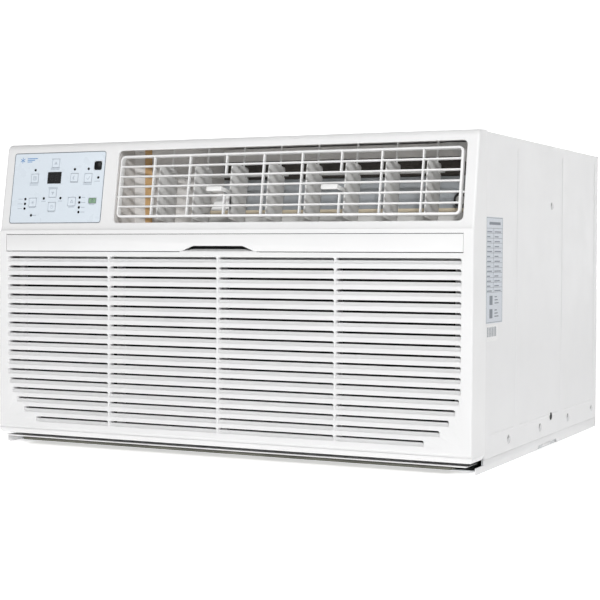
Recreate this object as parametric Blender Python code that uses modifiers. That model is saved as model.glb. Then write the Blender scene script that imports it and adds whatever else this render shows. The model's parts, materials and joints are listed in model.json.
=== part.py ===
"""Room air conditioner for a wall sleeve, modelled as the pieces it comes apart into.

Metres, +Z up, +X to the right seen from the front, front face towards -Y.
The origin is on the ground, under the middle of the case.
"""
import math

import bmesh
import bpy
from mathutils import Matrix, Vector

# ---------------------------------------------------------------- driving dimensions
WIDTH = 0.614                 # overall, across the front panel
DEPTH = 0.510                 # overall, front face to rear grille
HEIGHT = 0.368                # overall
GAP = 0.0003                  # between pieces that touch
RUN = 0.0008                  # round pieces that move

PANEL_DEPTH = 0.042           # front panel, front to seam
PANEL_WALL = 0.0025
PANEL_TOP_RADIUS = 0.0075
PANEL_EDGE_RADIUS = 0.003     # upright front edges
PANEL_FOOT_RADIUS = 0.014     # lower corners seen from the front
PANEL_LIFT = 0.008            # panel's lower edge above the pan's underside
LEAN = math.radians(9.2)      # the upper part of the panel leans back
LEAN_HEIGHT = 0.1045          # its foot is this far below the top
LEAN_STEP = 0.0025            # and this far behind the lower part

SHEET = 0.0012                # steel of the cover
COVER_FOOT = 0.0133           # lower edge of the cover
COVER_RADIUS = 0.004
BEAD_WIDTH = 0.0045
BEAD_RISE = 0.0008
BEAD_FOOT = 0.050
BEAD_TOP_MARGIN = 0.012
BEAD_FRONT, BEAD_MIDDLE, BEAD_REAR = 0.112, 0.296, 0.451   # behind the panel's seam

PAN_SHEET = 0.0015
PAN_FLANGE = 0.034            # height of the flange inside the cover
NOTCH_START, NOTCH_LENGTH, NOTCH_RISE = 0.203, 0.075, 0.005
PAN_NOSE_SETBACK = 0.012      # pan's front tongue behind the front face
PAN_NOSE_MARGIN = 0.028       # and inside the panel's sides
PAN_NOSE_LIFT = 0.0045        # its sheet above the pan's underside
PAN_CHEEK_SETBACK = 0.016     # the skirt's front ends behind the front face

SLOT_ROWS = 18
SLOT_PITCH = 0.01146
SLOT_HEIGHT = 0.006
SLOT_SIDE_MARGIN = 0.0125
SLOT_RIB = 0.002
SLOT_SECTIONS = 4
SLOT_CORNER_RADIUS = 0.0715
SLOT_CORNER_HEIGHT = 0.098

DOOR_HEIGHT = 0.0197
DOOR_THICKNESS = 0.003
DOOR_SIDE_MARGIN = 0.0115
DOOR_SEAT_DROP = 0.0067       # door's top below the foot of the leaning face
DOOR_ABOVE_SLOTS = 0.0065
FINGER_WIDTH, FINGER_HEIGHT, FINGER_SLOPE = 0.064, 0.00625, 0.016

FACE_MARGIN = 0.0073          # openings above the foot of the leaning face
FACE_HEIGHT = 0.0869
OVERLAY_WIDTH = 0.133
OVERLAY_SIDE_MARGIN = 0.013
OVERLAY_THICKNESS = 0.0008
OUTLET_WIDTH = 0.4365
OUTLET_SIDE_MARGIN = 0.0135
OUTLET_RADIUS = 0.004

FRAME_SIDE_GAP = 0.0035
FRAME_HEIGHT = 0.0742
FRAME_DEPTH = 0.007
FRAME_RAIL = 0.0034
FRAME_BAR = 0.0022
FRAME_ROWS = 6
FRAME_CELLS = 9
FRAME_BAR_PITCH = 0.0482
FRAME_RADIUS = 0.006
FRAME_PIN_RADIUS = 0.0012
FRAME_PIN_SETBACK = 0.0052
FRAME_PIN_ROW = 2             # the pins are level with this inner bar, from below
HANDLE_BARS = (2, 5)          # uprights that are interrupted for the handles

VANE_THICKNESS = 0.0016
VANE_SETBACK = 0.0155         # front edge behind the face
VANE_LENGTH = 0.0405
VANE_PIVOT = 0.0285           # pivot behind the front edge
VANE_HEIGHT = 0.0665
VANE_FOOT = 0.0145            # above the foot of the leaning face
LINK_PIN = 0.0375             # link pin behind the front edge
LINK_PIN_RADIUS = 0.0009
LINK_HEIGHT = 0.0575          # above the vane's foot
LINK_SIZE = 0.0024
LINK_OVERHANG = 0.0055
VANE_PIN_RADIUS = 0.0012
HANDLE_REACH = 0.008          # in front of the face
HANDLE_WIDTH, HANDLE_HEIGHT, HANDLE_DEPTH = 0.0185, 0.0054, 0.0055

KEY_SIZE = 0.0107
KEY_THICKNESS = 0.0022
POWER_KEY_HEIGHT = 0.0065

DUCT_WALL = 0.002
DUCT_FLOOR = 0.0010           # above the foot of the leaning face
DUCT_TOP_MARGIN = 0.0045      # below the top of the case
DUCT_BACK = 0.200             # behind the front face
DUCT_SLANT = 0.052            # the slanting wall starts this far behind the front face
DUCT_THROAT = 0.115           # and ends this far behind it
DUCT_THROAT_INSET = 0.094

AXIS_X = 0.095                # fan axis
AXIS_Z = 0.160
SHAFT_RADIUS = 0.004
WHEEL_RADIUS = 0.076
WHEEL_DEPTH = 0.062
WHEEL_BLADES = 20
WHEEL_BLADE = 0.011
SCROLL_CLEARANCE = 0.010
SCROLL_GROWTH = 0.020
SCROLL_DEPTH = 0.088
SCROLL_WALL = 0.002
SCROLL_FRONT = 0.106          # behind the front face
FAN_RADIUS = 0.134
FAN_BLADES = 5
FAN_DEPTH = 0.026
MOTOR_RADIUS = 0.060
MOTOR_LENGTH = 0.092
BULKHEAD_PLACE = 0.203        # behind the front face

FILTER_PLACE = 0.018
FILTER_THICKNESS = 0.006
FILTER_BORDER = 0.008
SCREEN_THICKNESS = 0.0008
COIL_DEPTH = 0.042
COIL_PLACE = 0.050            # evaporator, behind the front face
COIL_BEND_RADIUS = 0.0105
COIL_TUBE = 0.0048
COIL_BENDS = 4
CONDENSER_PLACE = 0.050       # in front of the rear face
CONDENSER_DEPTH = 0.040
COIL_LINE_ROOM = 0.045        # left of the coils
COIL_BEND_ROOM = 0.024        # right of the coils

COMPRESSOR_RADIUS = 0.056
COMPRESSOR_HEIGHT = 0.205
COMPRESSOR_X = -0.195
COMPRESSOR_Y = 0.026
GROMMET_HEIGHT = 0.014
GROMMET_RADIUS = 0.010
GROMMET_CIRCLE = 0.066
ACCUMULATOR_RADIUS = 0.021
ACCUMULATOR_HEIGHT = 0.130

# ---------------------------------------------------------------- worked-out places
FRONT = -DEPTH / 2
BACK = DEPTH / 2
SEAM = FRONT + PANEL_DEPTH
HALF = WIDTH / 2
LEAN_FOOT = Vector((0, FRONT + LEAN_STEP, HEIGHT - LEAN_HEIGHT))
CASE_SIDE = HALF - BEAD_RISE              # outside of the cover's flat sides
INSIDE = CASE_SIDE - SHEET - GAP          # half width free inside the cover
DOOR_TOP = LEAN_FOOT.z - DOOR_SEAT_DROP
DOOR_FOOT = DOOR_TOP - DOOR_HEIGHT
SLOT_TOP = DOOR_FOOT - DOOR_ABOVE_SLOTS
OUTLET_RIGHT = HALF - OUTLET_SIDE_MARGIN
OUTLET_LEFT = OUTLET_RIGHT - OUTLET_WIDTH
OUTLET_MIDDLE = (OUTLET_LEFT + OUTLET_RIGHT) / 2
OVERLAY_LEFT = -HALF + OVERLAY_SIDE_MARGIN
OVERLAY_MIDDLE = OVERLAY_LEFT + OVERLAY_WIDTH / 2
FACE_MIDDLE = FACE_MARGIN + FACE_HEIGHT / 2
FRAME_WIDTH = OUTLET_WIDTH - 2 * FRAME_SIDE_GAP
FRAME_FOOT = FACE_MIDDLE - FRAME_HEIGHT / 2
FRAME_ROW_PITCH = (FRAME_HEIGHT - FRAME_RAIL) / FRAME_ROWS
FRAME_PIN_UP = FRAME_FOOT + FRAME_RAIL / 2 + FRAME_PIN_ROW * FRAME_ROW_PITCH
DUCT_LOW = LEAN_FOOT.z + DUCT_FLOOR
DUCT_HIGH = HEIGHT - DUCT_TOP_MARGIN
PAN_TOP = PAN_SHEET + GAP


def upright_x(index):
    """Where the louvre frame's upright number index stands."""
    return OUTLET_MIDDLE + (index - (FRAME_CELLS - 2) / 2) * FRAME_BAR_PITCH


# ---------------------------------------------------------------- collections, materials
def fresh_scene():
    for obj in list(bpy.data.objects):
        bpy.data.objects.remove(obj, do_unlink=True)
    groups = []
    for name in ("air_conditioner", "cutters"):
        group = bpy.data.collections.new(name)
        bpy.context.scene.collection.children.link(group)
        groups.append(group)
    return groups


PARTS, CUTTERS = fresh_scene()


def material(name, colour, roughness, metallic=0.0):
    mat = bpy.data.materials.new(name)
    mat.use_nodes = True
    shader = mat.node_tree.nodes["Principled BSDF"]
    shader.inputs["Base Color"].default_value = (*colour, 1.0)
    shader.inputs["Roughness"].default_value = roughness
    shader.inputs["Metallic"].default_value = metallic
    return mat


WHITE_PLASTIC = material("white_plastic", (0.86, 0.86, 0.85), 0.45)
PAINTED_STEEL = material("painted_steel", (0.78, 0.78, 0.78), 0.40)
OVERLAY_FILM = material("overlay_film", (0.68, 0.78, 0.87), 0.30)
DARK_WINDOW = material("dark_window", (0.010, 0.010, 0.011), 0.08)
KEY_FILM = material("key_film", (0.66, 0.77, 0.87), 0.30)
GREEN_KEY = material("green_key", (0.33, 0.62, 0.42), 0.30)
LOUVRE_PLASTIC = material("louvre_plastic", (0.90, 0.90, 0.89), 0.38)
VANE_PLASTIC = material("vane_plastic", (0.80, 0.80, 0.80), 0.42)
DUCT_FOAM = material("duct_foam", (0.58, 0.59, 0.60), 0.85)
SCROLL_FOAM = material("scroll_foam", (0.70, 0.70, 0.70), 0.80)
GALVANISED = material("galvanised", (0.62, 0.64, 0.65), 0.38, 0.9)
ALUMINIUM_FINS = material("aluminium_fins", (0.75, 0.76, 0.78), 0.40, 0.9)
COPPER = material("copper", (0.72, 0.36, 0.22), 0.30, 1.0)
BLACK_PAINT = material("black_paint", (0.02, 0.02, 0.022), 0.35)
FAN_PLASTIC = material("fan_plastic", (0.05, 0.05, 0.055), 0.50)
SHAFT_STEEL = material("shaft_steel", (0.55, 0.55, 0.56), 0.25, 1.0)
RUBBER = material("rubber", (0.02, 0.02, 0.02), 0.90)
BOARD_GREEN = material("board_green", (0.05, 0.23, 0.12), 0.50)
CAPACITOR_CAN = material("capacitor_can", (0.70, 0.71, 0.72), 0.30, 0.9)
FILTER_MESH = material("filter_mesh", (0.10, 0.11, 0.12), 0.80)


# ---------------------------------------------------------------- making shapes
def place(obj, mat, parent=None, location=(0, 0, 0)):
    """Put a piece in the model, or a cutter (mat is None) in the cutters."""
    for group in list(obj.users_collection):
        group.objects.unlink(obj)
    obj.parent = parent
    obj.location = location
    if mat is None:
        CUTTERS.objects.link(obj)
        obj.hide_render = True
        obj.display_type = "WIRE"
    else:
        PARTS.objects.link(obj)
        obj.data.materials.clear()
        obj.data.materials.append(mat)
    return obj


def boxes(name, spans, mat, parent=None, location=(0, 0, 0)):
    """Boxes in one mesh; each span is ((x0, x1), (y0, y1), (z0, z1))."""
    shape = bmesh.new()
    for span in spans:
        middle = Vector([(low + high) / 2 for low, high in span])
        size = [high - low for low, high in span]
        matrix = Matrix.Translation(middle) @ Matrix.Diagonal((*size, 1.0))
        bmesh.ops.create_cube(shape, size=1.0, matrix=matrix)
    mesh = bpy.data.meshes.new(name)
    shape.to_mesh(mesh)
    shape.free()
    return place(bpy.data.objects.new(name, mesh), mat, parent, location)


def drum(name, radius, span, axis, mat, parent=None, at=(0, 0, 0), sides=24, top_radius=None):
    """A round bar or cone from span[0] to span[1] along the axis."""
    shape = bmesh.new()
    turn = {"X": Matrix.Rotation(math.pi / 2, 4, "Y"),
            "Y": Matrix.Rotation(-math.pi / 2, 4, "X"),
            "Z": Matrix.Identity(4)}[axis]
    middle = Matrix.Translation((0, 0, (span[0] + span[1]) / 2))
    bmesh.ops.create_cone(shape, cap_ends=True, segments=sides, radius1=radius,
                          radius2=radius if top_radius is None else top_radius,
                          depth=span[1] - span[0], matrix=turn @ middle)
    mesh = bpy.data.meshes.new(name)
    shape.to_mesh(mesh)
    shape.free()
    return smooth(place(bpy.data.objects.new(name, mesh), mat, parent, at))


def smooth(obj):
    obj.data.shade_smooth()
    obj.data.set_sharp_from_angle(angle=math.radians(35))
    return obj


def outline(name, points, half, plane, mat, parent=None, location=(0, 0, 0)):
    """A flat outline, half a thickness each way from its plane (XY, XZ or YZ)."""
    curve = bpy.data.curves.new(name, "CURVE")
    curve.dimensions = "2D"
    curve.fill_mode = "BOTH"
    curve.extrude = half
    spline = curve.splines.new("POLY")
    spline.points.add(len(points) - 1)
    for point, (a, b) in zip(spline.points, points):
        point.co = (a, b, 0, 1)
    spline.use_cyclic_u = True
    guide = bpy.data.objects.new(name + "_outline", curve)
    CUTTERS.objects.link(guide)
    bpy.context.view_layer.update()
    graph = bpy.context.evaluated_depsgraph_get()
    mesh = bpy.data.meshes.new_from_object(guide.evaluated_get(graph))
    bpy.data.objects.remove(guide, do_unlink=True)
    mesh.transform({"XY": Matrix.Identity(4),
                    "XZ": Matrix.Rotation(math.pi / 2, 4, "X"),
                    "YZ": Matrix.Rotation(math.pi / 2, 4, "Z") @ Matrix.Rotation(math.pi / 2, 4, "X"),
                    }[plane])
    shape = bmesh.new()
    shape.from_mesh(mesh)
    bmesh.ops.remove_doubles(shape, verts=shape.verts, dist=0.00001)
    bmesh.ops.recalc_face_normals(shape, faces=shape.faces)
    shape.to_mesh(mesh)
    shape.free()
    mesh.name = name
    return place(bpy.data.objects.new(name, mesh), mat, parent, location)


def turned(name, profile, mat, parent=None, location=(0, 0, 0), steps=20):
    """A profile of (radius, height), top to bottom down its outer side, turned about Z."""
    mesh = bpy.data.meshes.new(name)
    shape = bmesh.new()
    corners = [shape.verts.new((radius, 0, height)) for radius, height in profile]
    for first, second in zip(corners, corners[1:]):
        shape.edges.new((first, second))
    shape.to_mesh(mesh)
    shape.free()
    obj = place(bpy.data.objects.new(name, mesh), mat, parent, location)
    screw = obj.modifiers.new("turn", "SCREW")
    screw.axis = "Z"
    screw.steps = screw.render_steps = steps
    screw.use_merge_vertices = True
    screw.merge_threshold = 0.00001
    return obj


def apply_all(obj):
    """Make the evaluated shape the piece's own mesh."""
    bpy.context.view_layer.update()
    graph = bpy.context.evaluated_depsgraph_get()
    mesh = bpy.data.meshes.new_from_object(obj.evaluated_get(graph))
    obj.modifiers.clear()
    obj.data = mesh
    return obj


def combine(piece, other, operation):
    change = piece.modifiers.new(other.name, "BOOLEAN")
    change.operation = operation
    change.solver = "EXACT"
    change.object = other
    return piece


def cut(piece, *cutters):
    for cutter in cutters:
        combine(piece, cutter, "DIFFERENCE")
    return piece


def join(piece, *others):
    for other in others:
        combine(piece, other, "UNION")
    return piece


def arc(centre, radius, start, stop, steps):
    """Points on an arc, angles in degrees, first and last included."""
    angles = [math.radians(start + (stop - start) * i / steps) for i in range(steps + 1)]
    return [(centre[0] + radius * math.cos(a), centre[1] + radius * math.sin(a)) for a in angles]


def rounded_rectangle(x0, x1, z0, z1, low_radius, high_radius, steps=3):
    return (arc((x0 + low_radius, z0 + low_radius), low_radius, 180, 270, steps)
            + arc((x1 - low_radius, z0 + low_radius), low_radius, 270, 360, steps)
            + arc((x1 - high_radius, z1 - high_radius), high_radius, 0, 90, steps)
            + arc((x0 + high_radius, z1 - high_radius), high_radius, 90, 180, steps))


def rounded_route(corners, radius, steps=4):
    """A route through the corners with each corner rounded off."""
    corners = [Vector(c) for c in corners]
    route = [corners[0]]
    for before, corner, after in zip(corners, corners[1:], corners[2:]):
        start = corner + (before - corner).normalized() * radius
        stop = corner + (after - corner).normalized() * radius
        for i in range(steps + 1):
            t = i / steps
            route.append(start * (1 - t) ** 2 + corner * (2 * t * (1 - t)) + stop * t ** 2)
    route.append(corners[-1])
    return route


def pipe(name, route, radius, mat, parent=None):
    """A tube along a route, as a curve with filled ends."""
    curve = bpy.data.curves.new(name, "CURVE")
    curve.dimensions = "3D"
    curve.bevel_depth = radius
    curve.bevel_resolution = 2
    curve.use_fill_caps = True
    spline = curve.splines.new("POLY")
    spline.points.add(len(route) - 1)
    for point, co in zip(spline.points, route):
        point.co = (*co, 1)
    return place(bpy.data.objects.new(name, curve), mat, parent)


# ---------------------------------------------------------------- the leaning face
def leaning_face():
    """An empty at the foot of the leaning face: local X right, local Z up it, local -Y out."""
    empty = bpy.data.objects.new("leaning_face", None)
    CUTTERS.objects.link(empty)
    empty.location = LEAN_FOOT
    empty.rotation_euler = (-LEAN, 0, 0)
    return empty


FACE = leaning_face()


# ---------------------------------------------------------------- front panel
def panel_profile(inset, back):
    """The panel's side outline, moved in by inset, as (y, z) points."""
    foot, top = PANEL_LIFT + inset, HEIGHT - inset
    lean_y = LEAN_FOOT.y + inset
    radius = PANEL_TOP_RADIUS - inset
    arc_z = top - radius
    arc_y = lean_y + (arc_z - LEAN_FOOT.z) * math.tan(LEAN) + radius
    corner = arc((arc_y, arc_z), radius, 180 - math.degrees(LEAN), 90, 3)
    step = [(FRONT + inset, LEAN_FOOT.z - LEAN_STEP / 2), (lean_y, LEAN_FOOT.z)]
    return [(back, foot), (FRONT + inset, foot)] + step + corner + [(back, top)]


def slot_cutters():
    """Boxes for the intake rows; the lowest rows stop short at the round corners."""
    spans = []
    for row in range(SLOT_ROWS):
        high = SLOT_TOP - row * SLOT_PITCH
        low = high - SLOT_HEIGHT
        drop = max(0.0, SLOT_CORNER_HEIGHT - (low + high) / 2)
        shy = SLOT_CORNER_RADIUS - math.sqrt(max(SLOT_CORNER_RADIUS ** 2 - drop ** 2, 0.0))
        reach = HALF - SLOT_SIDE_MARGIN - shy
        section = 2 * (HALF - SLOT_SIDE_MARGIN) / SLOT_SECTIONS
        for index in range(SLOT_SECTIONS):
            left = -HALF + SLOT_SIDE_MARGIN + index * section + SLOT_RIB / 2
            right = left + section - SLOT_RIB
            left, right = max(left, -reach), min(right, reach)
            spans.append(((left, right), (FRONT - 0.01, FRONT + 2 * PANEL_WALL), (low, high)))
    return boxes("slot_cutter", spans, None)


def make_front_panel():
    panel = outline("front_panel", panel_profile(0, SEAM), HALF, "YZ", WHITE_PLASTIC)
    low = rounded_rectangle(-HALF, HALF, PANEL_LIFT, HEIGHT, PANEL_FOOT_RADIUS, PANEL_EDGE_RADIUS)
    front_view = outline("panel_front_view", low, DEPTH, "XZ", None)
    plan = [(-HALF, SEAM + 0.01)] + arc((-HALF + PANEL_EDGE_RADIUS, FRONT + PANEL_EDGE_RADIUS),
                                        PANEL_EDGE_RADIUS, 180, 270, 3)
    plan += [(-x, y) for x, y in reversed(plan)]
    plan_view = outline("panel_plan_view", plan, HEIGHT + 0.01, "XY", None)
    combine(panel, front_view, "INTERSECT")
    combine(panel, plan_view, "INTERSECT")
    hollow = outline("panel_hollow", panel_profile(PANEL_WALL, SEAM + 0.01),
                     HALF - PANEL_WALL, "YZ", None)
    inner = rounded_rectangle(-HALF + PANEL_WALL, HALF - PANEL_WALL, PANEL_LIFT + PANEL_WALL,
                              HEIGHT - PANEL_WALL, PANEL_FOOT_RADIUS - PANEL_WALL, PANEL_EDGE_RADIUS)
    combine(hollow, outline("hollow_front_view", inner, DEPTH, "XZ", None), "INTERSECT")
    cut(panel, hollow, slot_cutters())
    seat_side = HALF - DOOR_SIDE_MARGIN + 0.0008
    seat = boxes("door_seat", [((-seat_side, seat_side), (FRONT - 0.01, FRONT + 0.02),
                                (DOOR_FOOT - 0.0008, DOOR_TOP + 0.001))], None)
    outlet = outline("outlet_cutter", rounded_rectangle(
        OUTLET_LEFT, OUTLET_RIGHT, FACE_MARGIN, FACE_MARGIN + FACE_HEIGHT,
        OUTLET_RADIUS, OUTLET_RADIUS), 0.02, "XZ", None, FACE)
    sunk = OVERLAY_THICKNESS + GAP
    side = OVERLAY_WIDTH / 2 + GAP
    seat_low, seat_high = FACE_MARGIN - GAP, FACE_MARGIN + FACE_HEIGHT + GAP
    overlay_seat = boxes("overlay_seat", [((OVERLAY_MIDDLE - side, OVERLAY_MIDDLE + side),
                                           (-0.01, sunk), (seat_low, seat_high))], None, FACE)
    cut(panel, seat, outlet, overlay_seat)
    wells = [((x - w / 2, x + w / 2), (-0.01, 0.01), (z - h / 2, z + h / 2))
             for x, z, w, h in (key_place(name, 2 * GAP) for name in KEYS)]
    return cut(panel, boxes("key_wells", wells, None, FACE))


# ---------------------------------------------------------------- control overlay and keys
# name: (share of the overlay's width from its left, share of its height from its top)
KEYS = {
    "key_up": (0.463, 0.152), "key_down": (0.457, 0.574), "key_filter_reset": (0.242, 0.360),
    "key_sleep": (0.678, 0.364), "key_saver": (0.828, 0.370), "key_mode": (0.243, 0.705),
    "key_timer": (0.459, 0.768), "key_fan": (0.673, 0.700), "key_power": (0.895, 0.690),
}
DISPLAY_PLACE, DISPLAY_SIZE = (0.459, 0.358), (0.0196, 0.014)
RECEIVER_PLACE, RECEIVER_SIZE = (0.924, 0.200), (0.0106, 0.0106)


def overlay_point(share):
    return OVERLAY_LEFT + share[0] * OVERLAY_WIDTH, FACE_MARGIN + (1 - share[1]) * FACE_HEIGHT


def key_place(name, clearance=0.0):
    """Middle and size of a key on the leaning face, with a clearance all round."""
    x, z = overlay_point(KEYS[name])
    height = POWER_KEY_HEIGHT if name == "key_power" else KEY_SIZE
    return x, z, KEY_SIZE + 2 * clearance, height + 2 * clearance


def rounded_plate(name, x, z, width, height, radius, depth, mat, out=0.0, parent=FACE):
    """A plate on the leaning face, its front at local y = out, centred on its own origin."""
    points = rounded_rectangle(-width / 2, width / 2, -height / 2, height / 2, radius, radius)
    return outline(name, points, depth / 2, "XZ", mat, parent, (x, out + depth / 2, z))


def make_controls():
    overlay = rounded_plate("control_overlay", OVERLAY_MIDDLE, FACE_MIDDLE, OVERLAY_WIDTH,
                            FACE_HEIGHT, 0.003, OVERLAY_THICKNESS, OVERLAY_FILM)
    holes = [((x - w / 2, x + w / 2), (-0.01, 0.01), (z - h / 2, z + h / 2))
             for x, z, w, h in (key_place(name, GAP) for name in KEYS)]
    for share, size in ((DISPLAY_PLACE, DISPLAY_SIZE), (RECEIVER_PLACE, RECEIVER_SIZE)):
        x, z = overlay_point(share)
        w, h = size[0] / 2 + GAP, size[1] / 2 + GAP
        holes.append(((x - w, x + w), (-0.01, 0.01), (z - h, z + h)))
    cut(overlay, boxes("overlay_holes", holes, None, FACE))
    for name, share, size in (("display_window", DISPLAY_PLACE, DISPLAY_SIZE),
                              ("receiver_window", RECEIVER_PLACE, RECEIVER_SIZE)):
        x, z = overlay_point(share)
        rounded_plate(name, x, z, *size, 0.001, OVERLAY_THICKNESS, DARK_WINDOW)
    for name in KEYS:
        x, z, width, height = key_place(name)
        mat = GREEN_KEY if name == "key_power" else KEY_FILM
        rounded_plate(name, x, z, width, height, 0.0012, KEY_THICKNESS, mat)


# ---------------------------------------------------------------- filter door
def make_filter_door():
    """Strip hinged along its top, with a hooded notch for a finger in its lower edge."""
    hinge = bpy.data.objects.new("filter_door_hinge", None)
    CUTTERS.objects.link(hinge)
    hinge.location = (0, FRONT + DOOR_THICKNESS / 2, DOOR_TOP - DOOR_THICKNESS / 2)
    half, low = HALF - DOOR_SIDE_MARGIN, -(DOOR_HEIGHT - DOOR_THICKNESS / 2)
    door = boxes("filter_door", [((-half, half), (-DOOR_THICKNESS / 2, DOOR_THICKNESS / 2),
                                  (low, DOOR_THICKNESS / 2))], WHITE_PLASTIC, hinge)
    wide, narrow = FINGER_WIDTH / 2 + FINGER_SLOPE, FINGER_WIDTH / 2
    points = [(-wide, low - 0.001), (wide, low - 0.001), (narrow, low + FINGER_HEIGHT),
              (-narrow, low + FINGER_HEIGHT)]
    return cut(door, outline("finger_notch", points, 0.01, "XZ", None, hinge))


# ---------------------------------------------------------------- louvre frame and vanes
def make_louvre_frame():
    """Grid on two end pins; its origin is on the pins' axis."""
    base = Vector((OUTLET_MIDDLE, FRAME_PIN_SETBACK, FRAME_PIN_UP))
    half = FRAME_WIDTH / 2
    low, high = FRAME_FOOT - base.z, FRAME_FOOT + FRAME_HEIGHT - base.z
    front = -FRAME_PIN_SETBACK
    frame = outline("louvre_frame", rounded_rectangle(-half, half, low, high, FRAME_RADIUS,
                                                      FRAME_RADIUS), FRAME_DEPTH / 2, "XZ",
                    LOUVRE_PLASTIC, FACE, base)
    frame.data.transform(Matrix.Translation((0, front + FRAME_DEPTH / 2, 0)))
    uprights = [upright_x(i) - base.x for i in range(FRAME_CELLS - 1)]
    edges = [-half + FRAME_RAIL - FRAME_BAR / 2] + uprights + [half - FRAME_RAIL + FRAME_BAR / 2]
    spans = []
    for row in range(FRAME_ROWS):
        z0 = low + FRAME_RAIL / 2 + row * FRAME_ROW_PITCH + FRAME_BAR / 2
        z1 = z0 + FRAME_ROW_PITCH - FRAME_BAR
        z0 = z0 + (FRAME_RAIL - FRAME_BAR) / 2 if row == 0 else z0
        z1 = z1 - (FRAME_RAIL - FRAME_BAR) / 2 if row == FRAME_ROWS - 1 else z1
        left = edges[0]
        for index, right in enumerate(edges[1:]):
            joined = row in (FRAME_PIN_ROW, FRAME_PIN_ROW + 1) and index in HANDLE_BARS
            if joined:
                continue
            spans.append(((left + FRAME_BAR / 2, right - FRAME_BAR / 2), (-0.02, 0.02), (z0, z1)))
            left = right
    cut(frame, boxes("louvre_cells", spans, None, FACE, base))
    apply_all(frame)
    reach = half + FRAME_SIDE_GAP + DUCT_WALL / 2
    pins = []
    for side in (-1, 1):
        span = sorted((side * (half - FRAME_RAIL / 2), side * reach))
        pins.append(drum(f"louvre_pin_{side}", FRAME_PIN_RADIUS, span, "X", None, FACE, base, 12))
    return join(frame, *pins)


def vane_outline():
    """Vane seen from the side, (behind the pivot, above the vane's foot)."""
    front, rear = -VANE_PIVOT, VANE_LENGTH - VANE_PIVOT
    notch = LINK_PIN - VANE_PIVOT - 0.005
    half = LINK_SIZE / 2 + 2 * RUN
    return [(front, 0.002), (front + 0.002, 0), (rear - 0.006, 0), (rear, 0.006),
            (rear, LINK_HEIGHT - half), (notch, LINK_HEIGHT - half),
            (notch, LINK_HEIGHT + half), (rear, LINK_HEIGHT + half), (rear - 0.003, VANE_HEIGHT),
            (front + 0.007, VANE_HEIGHT), (front + 0.0025, VANE_HEIGHT - 0.0025),
            (front, VANE_HEIGHT - 0.009)]


def make_vanes():
    """Eight upright vanes on pins; each one's origin is on its own pivot."""
    link_y = LINK_PIN - VANE_PIVOT
    drop = math.sin(LEAN) * (VANE_SETBACK + VANE_PIVOT)
    tilt_room = 2 * GAP + VANE_PIN_RADIUS * math.tan(LEAN)
    floor = (DUCT_LOW + DUCT_WALL - LEAN_FOOT.z + drop) / math.cos(LEAN) + tilt_room
    ceiling = (DUCT_HIGH - DUCT_WALL - LEAN_FOOT.z + drop) / math.cos(LEAN) - tilt_room
    for index in range(FRAME_CELLS - 1):
        number = index + 1
        base = Vector((upright_x(index), VANE_SETBACK + VANE_PIVOT, VANE_FOOT))
        vane = outline(f"vane_{number}", vane_outline(), VANE_THICKNESS / 2, "YZ",
                       VANE_PLASTIC, FACE, base)
        low_pin = drum(f"vane_foot_pin_{number}", VANE_PIN_RADIUS, (floor - base.z, 0.002), "Z",
                       None, FACE, base, 10)
        high_pin = drum(f"vane_head_pin_{number}", VANE_PIN_RADIUS,
                        (VANE_HEIGHT - 0.002, ceiling - base.z), "Z", None, FACE, base, 10)
        link_half = LINK_SIZE / 2 + 2 * RUN + 0.001
        link_pin = drum(f"vane_link_pin_{number}", LINK_PIN_RADIUS,
                        (LINK_HEIGHT - link_half, LINK_HEIGHT + link_half), "Z",
                        None, FACE, base + Vector((0, link_y, 0)), 10)
        join(vane, low_pin, high_pin, link_pin)
        if index in HANDLE_BARS:
            up = FRAME_PIN_UP + FRAME_ROW_PITCH / 2 - base.z
            z = (up - HANDLE_HEIGHT / 2, up + HANDLE_HEIGHT / 2)
            tip = -base.y - HANDLE_REACH
            arm = ((-VANE_THICKNESS, VANE_THICKNESS / 2 + GAP),
                   (tip + HANDLE_DEPTH / 2, -VANE_PIVOT + 0.003), (z[0] + 0.0004, z[1] - 0.0004))
            tab = ((-HANDLE_WIDTH, VANE_THICKNESS), (tip, tip + HANDLE_DEPTH), z)
            join(vane, boxes(f"handle_arm_{number}", [arm], None, FACE, base),
                 boxes(f"handle_tab_{number}", [tab], None, FACE, base))
    for name, members, driver in (("link_bar_left", range(0, 4), HANDLE_BARS[0]),
                                  ("link_bar_right", range(4, 8), HANDLE_BARS[1])):
        base = Vector((upright_x(driver), VANE_SETBACK + LINK_PIN, VANE_FOOT + LINK_HEIGHT))
        places = [upright_x(i) - base.x for i in members]
        span = ((places[0] - LINK_OVERHANG, places[-1] + LINK_OVERHANG),
                (-LINK_SIZE, LINK_SIZE), (-LINK_SIZE / 2, LINK_SIZE / 2))
        bar = boxes(name, [span], VANE_PLASTIC, FACE, base)
        for hole, x in enumerate(places):
            cut(bar, drum(f"{name}_hole_{hole}", LINK_PIN_RADIUS + 0.0006, (-0.01, 0.01), "Z",
                          None, FACE, base + Vector((x, 0, 0)), 12))


# ---------------------------------------------------------------- air duct, scroll, bulkhead
def duct_plan(inset):
    """Plan of the duct: a slanting wall narrows it from the outlet to the blower."""
    left, right = OUTLET_LEFT - DUCT_WALL + inset, OUTLET_RIGHT + DUCT_WALL - inset
    throat = OUTLET_LEFT + DUCT_THROAT_INSET + inset
    front, back = FRONT - 0.002, FRONT + DUCT_BACK
    if inset:
        back -= inset
    return [(left, front), (right, front), (right, back), (throat, back),
            (throat, FRONT + DUCT_THROAT), (left, FRONT + DUCT_SLANT)]


def scroll_exit():
    """Where the scroll opens upward into the duct: x span and y span."""
    x = (AXIS_X - WHEEL_RADIUS - SCROLL_CLEARANCE + 0.006, AXIS_X + WHEEL_RADIUS)
    y = (FRONT + SCROLL_FRONT, FRONT + SCROLL_FRONT + SCROLL_DEPTH)
    return x, y


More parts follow.
